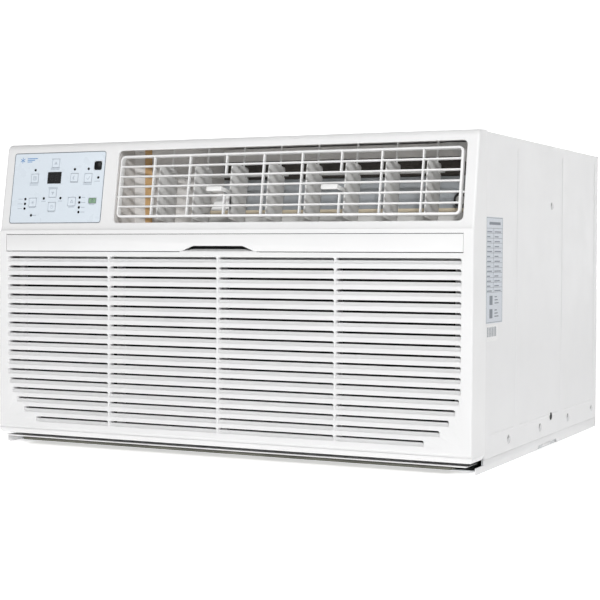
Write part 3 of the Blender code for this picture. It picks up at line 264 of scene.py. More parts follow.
PANEL_WHITE = moulded("panel_white", (0.86, 0.86, 0.862), 0.42)
DOOR_WHITE = moulded("door_white", (0.865, 0.865, 0.866), 0.42)
GRID_WHITE = moulded("grid_white", (0.90, 0.90, 0.898), 0.34, 3200.0, 0.06)
VANE_WHITE = moulded("vane_white", (0.86, 0.86, 0.85), 0.40, 3000.0, 0.08)
CASE_WHITE = powder_coat("case_white", (0.79, 0.79, 0.795), 0.36)
FILM_BLUE = moulded("film_blue", (0.74, 0.81, 0.88), 0.30, 4200.0, 0.05)
KEY_BLUE = moulded("key_blue", (0.76, 0.83, 0.90), 0.28, 4200.0, 0.05)
KEY_GREEN = moulded("key_green", (0.25, 0.42, 0.26), 0.28, 4200.0, 0.05)
SMOKED = moulded("smoked_window", (0.004, 0.004, 0.005), 0.22, 900.0, 0.01)
DUCT_GREY = foam("duct_foam", (0.84, 0.82, 0.80))
SCROLL_GREY = foam("scroll_foam", (0.74, 0.74, 0.73))
THROAT_BLUE = foam("throat_foam", (0.50, 0.53, 0.56))
# painted shade: a dark plate stands for the shaded opening behind the throat
THROAT_SHADE = foam("throat_painted_shade", (0.09, 0.082, 0.072))
SEAL_TAN = foam("seal_foam_tan", (0.66, 0.42, 0.20))
SEAL_CREAM = foam("seal_foam_cream", (0.76, 0.66, 0.50))
GALVANISED = sheet_steel("galvanised", (0.60, 0.62, 0.63))
FINS = fin_stock("fin_stock", (0.72, 0.73, 0.75))
COPPER = drawn_metal("copper", (0.72, 0.36, 0.22), 0.30, (1, 1, 1))
STEEL = drawn_metal("shaft_steel", (0.55, 0.55, 0.56), 0.26, (1, 0.05, 1))
SCREW_STEEL = drawn_metal("screw_zinc", (0.66, 0.66, 0.67), 0.30, (1, 1, 1))
# pan edge: dark partly of itself and partly as painted shade of the gap under the panel
PAN_EDGE_AND_SHADE = enamel("pan_edge_and_shade", (0.075, 0.075, 0.060), 0.6)
BLACK_ENAMEL = enamel("black_enamel", (0.02, 0.02, 0.022), 0.32)
FAN_BLACK = moulded("fan_black", (0.04, 0.04, 0.045), 0.50)
RUBBER = enamel("rubber", (0.025, 0.025, 0.025), 0.85)
BOARD = enamel("board_green", (0.04, 0.20, 0.10), 0.45)
CAN = drawn_metal("capacitor_can", (0.70, 0.71, 0.72), 0.30, (1, 0.1, 1))
SCREEN = cloth_screen("filter_cloth", (0.060, 0.055, 0.052))
INK_GREY = printed("ink_grey", (0.16, 0.19, 0.23))
INK_FAINT = printed("ink_faint", (0.52, 0.58, 0.65))
INK_BLUE = printed("ink_blue", (0.10, 0.30, 0.62))
LABEL_BLUE = printed("label_paper", (0.62, 0.66, 0.72), 0.35)
LABEL_WHITE = printed("sticker_paper", (0.86, 0.86, 0.86), 0.35)
# painted shade: flat dark colour for the gaps round the keys, the slot round the filter door and the hole
# in each side of the case; the cutters only borrow it
DARK = printed("shadow_gap", (0.012, 0.012, 0.013), 0.8)
DARK_SEGMENT = printed("unlit_segments", (0.018, 0.018, 0.020), 0.3)

CAD_FINISHES = {
    "display_window": SMOKED, "receiver_window": SMOKED, "control_overlay": FILM_BLUE,
    "blower_scroll": SCROLL_GREY, "outlet_duct": DUCT_GREY, "bulkhead": GALVANISED,
    "fan_shroud": GALVANISED, "motor_bracket": GALVANISED, "control_box": GALVANISED,
    "evaporator_coil": FINS, "condenser_coil": FINS, "suction_line": COPPER,
    "discharge_line": COPPER, "capillary_tube": COPPER, "fan_motor": BLACK_ENAMEL,
    "compressor": BLACK_ENAMEL, "accumulator": BLACK_ENAMEL, "blower_wheel": FAN_BLACK,
    "condenser_fan": FAN_BLACK, "fan_shaft": STEEL, "compressor_grommet_1": RUBBER,
    "compressor_grommet_2": RUBBER, "compressor_grommet_3": RUBBER, "cord_gland": RUBBER,
    "control_board": BOARD, "run_capacitor": CAN, "filter_screen": SCREEN,
    "filter_frame": GRID_WHITE, "link_bar_left": VANE_WHITE, "link_bar_right": VANE_WHITE,
}
for node, mat in CAD_FINISHES.items():
    NODES[node].data.materials.clear()
    NODES[node].data.materials.append(mat)
for node in NODES:
    if node.startswith("key_"):
        NODES[node].data.materials.clear()
        NODES[node].data.materials.append(KEY_GREEN if node == "key_power" else KEY_BLUE)

# ---------------------------------------------------------------- making meshes


def finished(name, shape, mat, matrix=Matrix.Identity(4), angle=30.0):
    """A mesh object from a bmesh, smooth except at its sharp edges."""
    shape.transform(matrix)
    mesh = bpy.data.meshes.new(name)
    shape.to_mesh(mesh)
    shape.free()
    mesh.shade_smooth()
    mesh.set_sharp_from_angle(angle=math.radians(angle))
    mesh.materials.append(mat)
    piece = bpy.data.objects.new(name, mesh)
    bpy.context.scene.collection.objects.link(piece)
    return piece


def fitted(piece, body, slot, *nodes):
    """Ride on a body and stand for CAD nodes; the slot is not used."""
    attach(piece, body)
    if nodes:
        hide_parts(*nodes)
    return piece


def add_box(shape, x, y, z, round_off=0.0, segments=2):
    """A box with rounded edges in an open bmesh; x, y and z are (low, high)."""
    spans = (x, y, z)
    middle = Vector([(a + b) / 2 for a, b in spans])
    size = [b - a for a, b in spans]
    made = bmesh.ops.create_cube(shape, size=1.0, matrix=Matrix.Translation(middle)
                                 @ Matrix.Diagonal((*size, 1)))
    if round_off:
        edges = {edge for vertex in made["verts"] for edge in vertex.link_edges}
        bmesh.ops.bevel(shape, geom=list(edges), offset=round_off, segments=segments,
                        affect="EDGES", profile=0.5, material=-1)


def add_prism(shape, points, plane, start, stop, round_off=0.0, segments=2):
    """A flat outline pushed from start to stop; plane is XZ (pushed along Y) or YZ (along X)."""
    def corner(a, b, depth):
        return (a, depth, b) if plane == "XZ" else (depth, a, b)
    ring = [shape.verts.new(corner(a, b, start)) for a, b in points]
    face = shape.faces.new(ring)
    push = Vector(corner(0, 0, stop - start))
    out = bmesh.ops.extrude_face_region(shape, geom=[face])
    moved = new_vertices(out)
    bmesh.ops.translate(shape, verts=moved, vec=push)
    if round_off:
        around = {edge for vertex in ring + moved for edge in vertex.link_edges}
        rims = [edge for edge in around
                if (edge.verts[0] in ring) == (edge.verts[1] in ring)]
        bmesh.ops.bevel(shape, geom=rims, offset=round_off, segments=segments,
                        affect="EDGES", profile=0.5, material=-1)


def new_vertices(made):
    """The vertices that an extrusion has just made."""
    return [item for item in made["geom"] if isinstance(item, bmesh.types.BMVert)]


def closed(shape):
    bmesh.ops.recalc_face_normals(shape, faces=shape.faces)
    return shape


def add_rod(shape, place, radius, length, turn=Matrix.Identity(4), sides=16, end=None):
    """A round rod along Z, then turned; end is its far radius where it tapers."""
    return bmesh.ops.create_cone(shape, cap_ends=True, segments=sides, radius1=radius,
                                 radius2=radius if end is None else end, depth=length,
                                 matrix=Matrix.Translation(place) @ turn)


def arc(centre, radius, start, stop, steps):
    angles = [math.radians(start + (stop - start) * i / steps) for i in range(steps + 1)]
    return [(centre[0] + radius * math.cos(a), centre[1] + radius * math.sin(a)) for a in angles]


def round_rectangle(x0, x1, z0, z1, low, high, steps=5):
    return (arc((x0 + low, z0 + low), low, 180, 270, steps)
            + arc((x1 - low, z0 + low), low, 270, 360, steps)
            + arc((x1 - high, z1 - high), high, 0, 90, steps)
            + arc((x0 + high, z1 - high), high, 90, 180, steps))


def cut_away(piece, *cutters, operation="DIFFERENCE"):
    """Cut closed shapes out of a piece and keep the result as its mesh."""
    for cutter in cutters:
        change = piece.modifiers.new("cut", "BOOLEAN")
        change.operation = operation
        change.solver = "EXACT"
        change.object = cutter
    keep_result(piece)
    for cutter in cutters:
        bpy.data.objects.remove(cutter, do_unlink=True)
    return piece


def keep_result(piece, angle=30.0):
    bpy.context.view_layer.update()
    graph = bpy.context.evaluated_depsgraph_get()
    mesh = bpy.data.meshes.new_from_object(piece.evaluated_get(graph))
    piece.modifiers.clear()
    piece.data = mesh
    mesh.shade_smooth()
    mesh.set_sharp_from_angle(angle=math.radians(angle))
    return piece

# ---------------------------------------------------------------- front panel


def row_reach(low, high):
    """Half width of an intake row; the lowest rows follow the round corners."""
    drop = max(0.0, SLOT_CORNER_HEIGHT - (low + high) / 2)
    return SLOT_REACH - SLOT_CORNER_RADIUS + math.sqrt(SLOT_CORNER_RADIUS ** 2 - drop ** 2)


def push_ring(shape, face, inward, outset=0.0, raise_foot=0.0):
    """Push a face along Y, growing it by outset and lifting its lower side."""
    out = bmesh.ops.extrude_face_region(shape, geom=[face])
    moved = new_vertices(out)
    middle = sum((v.co for v in moved), Vector()) / len(moved)
    top = max(v.co.z for v in moved)
    low = min(v.co.z for v in moved)
    for vertex in moved:
        side = Vector((vertex.co.x - middle.x, 0, vertex.co.z - middle.z))
        grow = Vector((math.copysign(outset, side.x), 0, math.copysign(outset, side.z)))
        vertex.co += grow + Vector((0, inward, raise_foot * (top - vertex.co.z) / (top - low)))
    return next(item for item in out["geom"] if isinstance(item, bmesh.types.BMFace))


def slot_shape(shape, left, right, low, high):
    """One intake slot: a flared mouth, then a way in whose floor slopes up."""
    ring = round_rectangle(left, right, low, high, 0.0009, 0.0021, 3)
    start = shape.faces.new([shape.verts.new((x, FRONT + 0.0009, z)) for x, z in ring])
    ramp = push_ring(shape, start, SLOT_RAMP, raise_foot=SLOT_SILL)
    push_ring(shape, ramp, SLOT_DEPTH - SLOT_RAMP)
    mouth = push_ring(shape, start, -0.0006, 0.0002)
    push_ring(shape, mouth, -0.0004, 0.0005)
    bmesh.ops.delete(shape, geom=[start, ramp, mouth], context="FACES_ONLY")


def all_slots():
    shape = bmesh.new()
    section = 2 * SLOT_REACH / 4
    for row in range(SLOT_ROWS):
        high = SLOT_TOP - row * SLOT_PITCH
        low = high - SLOT_HEIGHT
        reach = row_reach(low, high)
        for index in range(4):
            left = -SLOT_REACH + index * section + SLOT_RIB / 2
            right = left + section - SLOT_RIB
            slot_shape(shape, max(left, -reach), min(right, reach), low, high)
    return finished("slot_cutters", closed(shape), DARK)


def panel_block(name, profile, round_foot):
    """A block with this side outline, its upright front edges and lower corners rounded."""
    shape = bmesh.new()
    add_prism(shape, profile, "YZ", -HALF, HALF)
    closed(shape)
    low, high = min(z for _, z in profile), max(z for _, z in profile)
    corners = [edge for edge in shape.edges
               if all(abs(v.co.z - low) < 1e-6 and abs(abs(v.co.x) - HALF) < 1e-6 for v in edge.verts)]
    if round_foot:
        bmesh.ops.bevel(shape, geom=corners, offset=0.014, segments=10, affect="EDGES",
                        profile=0.5, material=-1)
        rims = [edge for edge in shape.edges if any(f.normal.y < -0.999 for f in edge.link_faces)
                and not all(abs(v.co.z - high) < 1e-6 for v in edge.verts)]
    else:
        rims = [edge for edge in shape.edges if any(abs(f.normal.x) > 0.99 for f in edge.link_faces)
                and all(v.co.y < SEAM - 1e-6 for v in edge.verts)]
    bmesh.ops.bevel(shape, geom=rims, offset=0.003, segments=4, affect="EDGES", profile=0.5,
                    material=-1)
    return finished(name, closed(shape), PANEL_WHITE)


def panel_body():
    """Upright lower part and leaning upper part, joined with a small step between them."""
    arc_z = TOP - 0.0085
    lean_y = FACE_FOOT.y + (arc_z - FACE_FOOT.z) * math.tan(LEAN)
    crown = arc((lean_y + 0.0085, arc_z), 0.0085, 180 - math.degrees(LEAN), 90, 6)
    step, under = FACE_FOOT.z - 0.0014, 0.06
    lower = [(SEAM, PANEL_FOOT), (FRONT, PANEL_FOOT), (FRONT, step), (SEAM, step)]
    foot = FACE_FOOT.z - under
    upper = [(SEAM, foot), (FACE_FOOT.y - under * math.tan(LEAN), foot)] + crown + [(SEAM, TOP)]
    body = panel_block("front_shell", lower, True)
    head = panel_block("front_head", upper, False)
    trim = bmesh.new()
    add_box(trim, (-1, 1), (FRONT - 0.05, FRONT + 0.05), (-1, FACE_FOOT.z - 0.004))
    cut_away(head, finished("head_trim", trim, DARK))
    return cut_away(body, head, operation="UNION")


def front_panel():
    body = panel_body()
    wall = PANEL_WALL
    hollow = bmesh.new()
    lean_top = TOP - wall - 0.004
    lean_y = FACE_FOOT.y + wall + (lean_top - FACE_FOOT.z) * math.tan(LEAN)
    foot = PANEL_FOOT + wall
    points = [(SEAM + 0.01, foot), (FRONT + wall, foot), (FRONT + wall, FACE_FOOT.z - 0.001),
              (FACE_FOOT.y + wall, FACE_FOOT.z + 0.001), (lean_y, lean_top),
              (lean_y + 0.004, TOP - wall), (SEAM + 0.01, TOP - wall)]
    add_prism(hollow, points, "YZ", -HALF + wall, HALF - wall)
    cut_away(body, finished("panel_hollow", closed(hollow), DARK))
    backing = bmesh.new()
    low = SLOT_TOP - (SLOT_ROWS - 1) * SLOT_PITCH - SLOT_HEIGHT - 0.004
    add_prism(backing, round_rectangle(-SLOT_REACH - 0.003, SLOT_REACH + 0.003, low, SLOT_TOP + 0.003,
                                       SLOT_CORNER_RADIUS, 0.003, 10),
              "XZ", FRONT + 0.001, FRONT + SLOT_DEPTH)
    cut_away(body, finished("slot_block", closed(backing), PANEL_WHITE), operation="UNION")
    seat = bmesh.new()
    add_box(seat, (DOOR_LOW.x - 0.0005, DOOR_HIGH.x + 0.0005), (FRONT - 0.01, FRONT + 0.02),
            (DOOR_LOW.z - 0.0008, DOOR_HIGH.z + 0.0006))
    outlet = bmesh.new()
    ring = round_rectangle(OUTLET_MIDDLE - OUTLET_WIDTH / 2, OUTLET_MIDDLE + OUTLET_WIDTH / 2,
                           FACE_LOW, FACE_HIGH, 0.005, 0.005)
    face = outlet.faces.new([outlet.verts.new((x, 0.02, z)) for x, z in ring])
    inner = []
    for inward, outset in ((-0.0192, 0.0), (-0.0008, 0.0007), (-0.01, 0.0)):
        face = push_ring(outlet, face, inward, outset)
        inner.append(face)
    bmesh.ops.delete(outlet, geom=inner[:-1], context="FACES_ONLY")
    film = bmesh.new()
    add_prism(film, round_rectangle(OVERLAY_LOW.x - 0.0004, OVERLAY_HIGH.x + 0.0004,
                                    FACE_LOW - 0.0004, FACE_HIGH + 0.0004, 0.0032, 0.0032),
              "XZ", -0.01, 0.0011)
    pockets = bmesh.new()
    keys = [face_box(name) for name in NODES if name.startswith("key_")]
    deep = max(high.y for low, high in keys) + 0.0016
    for low, high in keys:
        add_box(pockets, (low.x - 0.0004, high.x + 0.0004), (-0.01, deep),
                (low.z - 0.0004, high.z + 0.0004))
    cut_away(body, all_slots(), finished("door_seat", closed(seat), DARK),
             finished("key_pockets", closed(pockets), DARK, FACE),
             finished("outlet_hole", closed(outlet), DARK, FACE),
             finished("film_seat", closed(film), DARK, FACE))
    body.name = "front_moulding"
    fitted(body, "chassis", "white_plastic", "front_panel")
    # painted shade: a dark plate behind the key pockets makes the gaps round the keys look shaded
    backer = bmesh.new()
    add_box(backer, (OVERLAY_LOW.x + 0.003, OVERLAY_HIGH.x - 0.003), (deep - 0.0002, deep + 0.0006),
            (FACE_LOW + 0.003, FACE_HIGH - 0.003))
    fitted(finished("film_backer", backer, DARK, FACE), "chassis", "dark_window")


def filter_door():
    """Strip with a finger notch; a sloped ledge of the panel shows in the notch, and a dark plate of
    painted shade behind the strip stands for the shaded slot around it.
    """
    shape = bmesh.new()
    half, low, high = DOOR_HIGH.x, DOOR_LOW.z, DOOR_HIGH.z
    notch_top = low + 0.00625
    points = ([(-half, low), (-0.048, low)] + [(-0.0345, notch_top - 0.0008), (-0.0318, notch_top)]
              + [(0.0318, notch_top), (0.0345, notch_top - 0.0008), (0.048, low), (half, low)]
              + [(half, high), (-half, high)])
    add_prism(shape, points, "XZ", DOOR_LOW.y, DOOR_HIGH.y, 0.0007, 2)
    fitted(finished("filter_flap", closed(shape), DOOR_WHITE), "filter_door", "white_plastic",
           "filter_door")
    ledge = bmesh.new()
    add_prism(ledge, [(FRONT + 0.0012, low - 0.001), (FRONT + 0.0012, low + 0.0004),
                      (FRONT + 0.0085, low + 0.0030), (FRONT + 0.0085, low - 0.001)],
              "YZ", -0.050, 0.050)
    fitted(finished("notch_ledge", closed(ledge), DOOR_WHITE), "chassis", "white_plastic")
    # painted shade: a dark plate behind the door stands for the shaded slot around it
    dark = bmesh.new()
    add_box(dark, (-half, half), (FRONT + 0.0120, FRONT + 0.0126), (low - 0.002, high + 0.003))
    fitted(finished("filter_slot_shade", dark, DARK), "chassis", "dark_window")


front_panel()
filter_door()

# ---------------------------------------------------------------- louvre grid and vanes


def louvre_grid():
    """Two runs of thin bars in a rounded rim, uprights set back behind the long bars."""
    half, low, high = (OUTLET_WIDTH - 0.007) / 2, GRID_LOW.z, GRID_HIGH.z
    middle = OUTLET_MIDDLE
    rail, bar, depth = 0.0024, 0.0017, 0.0068
    rim = bmesh.new()
    add_prism(rim, round_rectangle(middle - half, middle + half, low, high, 0.006, 0.006),
              "XZ", 0.0, depth, 0.0009, 3)
    rim = finished("grid_rim", closed(rim), GRID_WHITE, FACE)
    inner = bmesh.new()
    add_prism(inner, round_rectangle(middle - half + rail, middle + half - rail, low + rail,
                                     high - rail, 0.0032, 0.0032), "XZ", -0.01, 0.02)
    cut_away(rim, finished("grid_hole", closed(inner), DARK, FACE))
    bars = bmesh.new()
    rows = 6
    pitch = (high - low - rail) / rows
    levels = [low + rail / 2 + pitch * (i + 1) for i in range(rows - 1)]
    for level in levels:
        add_box(bars, (middle - half + rail / 2, middle + half - rail / 2), (0.0004, depth - 0.0003),
                (level - bar / 2, level + bar / 2), 0.0005)
    for index, x in enumerate(UPRIGHTS):
        for row in range(rows):
            if index in (2, 5) and row in (2, 3):
                continue
            bottom = low + rail / 2 + pitch * row
            add_box(bars, (x - bar / 2, x + bar / 2), (0.0013, depth - 0.0006),
                    (bottom - 0.0004, bottom + pitch + 0.0004), 0.0004)
    for side in (-1, 1):
        add_rod(bars, (middle + side * (half + 0.001), PIN.y, PIN.z), 0.0012, 0.006,
                Matrix.Rotation(math.pi / 2, 4, "Y"))
    grid = finished("grid_bars", bars, GRID_WHITE, FACE)
    fitted(grid, "louvre_frame", "louvre_plastic", "louvre_frame")
    fitted(rim, "louvre_frame", "louvre_plastic")


def vane(number):
    """A moulded vane with rounded edges, pins, and on two of them a handle."""
    index = number - 1
    low, high = face_box(f"vane_{number}")
    x = UPRIGHTS[index]
    pivot = on_face(JOINTS[f"vane_{number}_swing"]["pos_m"])
    front, rear, foot = pivot.y - 0.0285, pivot.y + 0.012, pivot.z
    top = foot + 0.0665
    link = foot + 0.0575
    points = [(front, foot + 0.003), (front + 0.003, foot), (rear - 0.007, foot),
              (rear - 0.0015, foot + 0.003), (rear, foot + 0.008), (rear, link - 0.0028),
              (pivot.y + 0.0042, link - 0.0028), (pivot.y + 0.0042, link + 0.0028),
              (rear, link + 0.0028), (rear - 0.0008, top - 0.0016), (rear - 0.003, top)]
    points += arc((front + 0.008, top - 0.0085), 0.0082, 90, 180, 5)
    shape = bmesh.new()
    add_prism(shape, points, "YZ", x - 0.0008, x + 0.0008, 0.0004, 2)
    for start, stop, radius, y in ((low.z, foot + 0.002, 0.0012, pivot.y),
                                   (top - 0.002, high.z, 0.0012, pivot.y),
                                   (link - 0.0036, link + 0.0036, 0.0009, pivot.y + 0.009)):
        add_rod(shape, (x, y, (start + stop) / 2), radius, stop - start)
    if number in (3, 6):
        up = PIN.z + (GRID_HIGH.z - GRID_LOW.z - 0.0034) / 12
        add_box(shape, (x - 0.0014, x + 0.0009), (low.y + 0.003, front + 0.003),
                (up - 0.0022, up + 0.0022), 0.0005)
        add_box(shape, (x - 0.0185, x + 0.0016), (low.y, low.y + 0.0055),
                (up - 0.0027, up + 0.0027), 0.0012, 3)
    if number == 3:
        add_prism(shape, [(x - 0.0140, up - 0.0020), (x - 0.0225, up - 0.0215), (x - 0.0035, up - 0.0215),
                          (x + 0.0008, up - 0.0180), (x + 0.0008, up - 0.0020)], "XZ",
                  0.0138, 0.0150, 0.0003)
        add_box(shape, (x - 0.0004, x + 0.0008), (0.0138, front + 0.004), (up - 0.0205, up - 0.0020),
                0.0003)
    fitted(finished(f"air_vane_{number}", closed(shape), VANE_WHITE, FACE), f"vane_{number}",
           "vane_plastic", f"vane_{number}")


louvre_grid()
for number in range(1, 9):
    vane(number)

# ---------------------------------------------------------------- control film

FILM_FRONT = OVERLAY_LOW.y


def film_point(across, down):
    """Shares of the film's width and height to the face's own axes."""
    return (OVERLAY_LOW.x + across * (OVERLAY_HIGH.x - OVERLAY_LOW.x),
            FACE_HIGH - down * (FACE_HIGH - FACE_LOW))


def add_flat(shape, points, lift=0.00012):
    """A printed shape a hair above the film."""
    add_prism(shape, points, "XZ", FILM_FRONT - lift, FILM_FRONT + 0.00005)


def add_line(shape, x0, z0, x1, z1, width=0.0006):
    along = Vector((x1 - x0, z1 - z0)).normalized()
    side = Vector((-along.y, along.x)) * width / 2
    add_flat(shape, [(x0 - side.x, z0 - side.y), (x1 - side.x, z1 - side.y),
                     (x1 + side.x, z1 + side.y), (x0 + side.x, z0 + side.y)])


def add_ring(shape, x, z, width, height, radius, line=0.00045):
    outer = round_rectangle(x - width / 2, x + width / 2, z - height / 2, z + height / 2,
                            radius, radius, 4)
    inner = round_rectangle(x - width / 2 + line, x + width / 2 - line, z - height / 2 + line,
                            z + height / 2 - line, radius - line, radius - line, 4)
    loops = []
    for ring in (outer, inner):
        corners = [shape.verts.new((a, FILM_FRONT - 0.00012, b)) for a, b in ring]
        loops += [shape.edges.new((p, q)) for p, q in zip(corners, corners[1:] + corners[:1])]
    made = bmesh.ops.bridge_loops(shape, edges=loops)
    out = bmesh.ops.extrude_face_region(shape, geom=made["faces"])
    moved = new_vertices(out)
    bmesh.ops.translate(shape, verts=moved, vec=(0, 0.00017, 0))


def circle(x, z, radius, steps=14):
    return arc((x, z), radius, 0, 360 - 360 / steps, steps - 1)


KEY_PLACES = {name: face_box(name) for name in NODES if name.startswith("key_")}


def key_symbol(shape, name, x, z):
    """A plain symbol for each key."""
    s = 0.0024
    if name in ("key_up", "key_down"):
        way = 1 if name == "key_up" else -1
        add_flat(shape, [(x - s, z - way * s * 0.6), (x + s, z - way * s * 0.6),
                         (x, z + way * s * 0.9)][::way])
    elif name == "key_power":
        add_ring(shape, x, z - 0.0002, 0.0034, 0.0034, 0.0016)
        add_line(shape, x, z + 0.0002, x, z + 0.0022)
    elif name == "key_sleep":
        moon = arc((x, z), s, 60, 300, 10) + arc((x + s * 0.7, z), s * 0.95, 240, 120, 8)
        add_flat(shape, moon)
    elif name == "key_fan":
        for turn in range(3):
            a = math.radians(90 + 120 * turn)
            add_flat(shape, circle(x + 0.0014 * math.cos(a), z + 0.0014 * math.sin(a), 0.0010, 10))
    elif name == "key_timer":
        add_ring(shape, x, z, 0.0048, 0.0048, 0.0023)
        add_line(shape, x, z, x, z + 0.0016)
        add_line(shape, x, z, x + 0.0012, z)
    elif name == "key_mode":
        for turn in range(3):
            a = math.radians(60 * turn)
            dx, dz = 0.0024 * math.cos(a), 0.0024 * math.sin(a)
            add_line(shape, x - dx, z - dz, x + dx, z + dz, 0.00045)
    elif name == "key_filter_reset":
        for step in (-1, 0, 1):
            add_line(shape, x + step * 0.0014, z - 0.0022, x + step * 0.0014, z + 0.0022)
        add_ring(shape, x, z, 0.0052, 0.0052, 0.0008)
    else:
        add_line(shape, x - 0.0022, z, x, z - 0.0022, 0.0007)
        add_line(shape, x, z - 0.0022, x + 0.0024, z + 0.0020, 0.0007)


def control_prints():
    """Key outlines, symbols, lamps and caption bars; the bars stand for words."""
    for name, (low, high) in KEY_PLACES.items():
        x, z = (low.x + high.x) / 2, (low.z + high.z) / 2
        shape = bmesh.new()
        add_ring(shape, x, z, high.x - low.x, high.z - low.z, 0.0015)
        key_symbol(shape, name, x, z)
        mark = INK_GREY if name == "key_power" else INK_FAINT
        fitted(finished(f"{name}_print", closed(shape), mark, FACE), name, "dark_window")
    lamps, captions = bmesh.new(), bmesh.new()
    lamp_places = [(.242, .243), (.677, .244), (.827, .243), (.938, .368), (.158, .655),
                   (.158, .723), (.158, .790), (.238, .888), (.364, .650), (.547, .648),
                   (.757, .645), (.757, .714), (.757, .783), (.757, .849)]
    for across, down in lamp_places:
        x, z = film_point(across, down)
        add_flat(lamps, circle(x, z, 0.00165, 20))
    caption_bars = [(.46, .223, .10), (.46, .494, .11), (.24, .436, .10), (.678, .42, .07),
                    (.828, .445, .10), (.93, .42, .06), (.105, .655, .05), (.105, .723, .06),
                    (.105, .790, .05), (.275, .888, .05), (.364, .690, .05), (.547, .690, .05),
                    (.243, .776, .07), (.459, .840, .08), (.673, .778, .06), (.80, .645, .04),
                    (.80, .714, .05), (.80, .783, .04), (.80, .849, .05), (.895, .745, .06)]
    for across, down, wide in caption_bars:
        half = wide * 0.133 / 2
        for line in (0.0, 0.0017) if wide > 0.09 else (0.0,):
            x, z = film_point(across, down)
            add_line(captions, x - half, z - line, x + half * 0.9, z - line, 0.0008)
    fitted(finished("film_lamps", closed(lamps), SMOKED, FACE), "chassis", "dark_window")
    fitted(finished("film_captions", closed(captions), INK_FAINT, FACE), "chassis", "dark_window")
    flake = bmesh.new()
    x, z = film_point(0.09, 0.10)
    for turn in range(3):
        a = math.radians(60 * turn + 30)
        dx, dz = 0.0036 * math.cos(a), 0.0036 * math.sin(a)
        add_line(flake, x - dx, z - dz, x + dx, z + dz, 0.0007)
    for step in range(3):
        add_line(flake, x + 0.007, z + 0.002 - step * 0.002,
                 x + 0.022 - step * 0.004, z + 0.002 - step * 0.002, 0.0009)
    fitted(finished("film_emblem", closed(flake), INK_BLUE, FACE), "chassis", "overlay_film")
    edge = bmesh.new()
    add_ring(edge, (OVERLAY_LOW.x + OVERLAY_HIGH.x) / 2, (FACE_LOW + FACE_HIGH) / 2,
             OVERLAY_HIGH.x - OVERLAY_LOW.x, FACE_HIGH - FACE_LOW, 0.003, 0.0006)
    fitted(finished("film_edge", closed(edge), INK_GREY, FACE), "chassis", "overlay_film")
    low, high = face_box("receiver_window")
    lens = bmesh.new()
    add_prism(lens, round_rectangle(low.x, high.x, low.z, high.z, 0.0026, 0.0026, 6), "XZ",
              low.y, high.y, 0.0003)
    fitted(finished("receiver_lens", closed(lens), SMOKED, FACE), "chassis", "dark_window",
           "receiver_window")
    digits = bmesh.new()
    low, high = face_box("display_window")
    for side in (-1, 1):
        x, z = (low.x + high.x) / 2 + side * 0.0035, (low.z + high.z) / 2
        for dx0, dz0, dx1, dz1 in ((-1, 2, 1, 2), (-1, 0, 1, 0), (-1, -2, 1, -2), (-1, 2, -1, 0),
                                   (1, 2, 1, 0), (-1, 0, -1, -2), (1, 0, 1, -2)):
            add_line(digits, x + dx0 * 0.0016, z + dz0 * 0.0016, x + dx1 * 0.0016,
                     z + dz1 * 0.0016, 0.0005)
    fitted(finished("display_segments", closed(digits), DARK_SEGMENT, FACE), "chassis",
           "dark_window")


control_prints()

# ---------------------------------------------------------------- air duct details


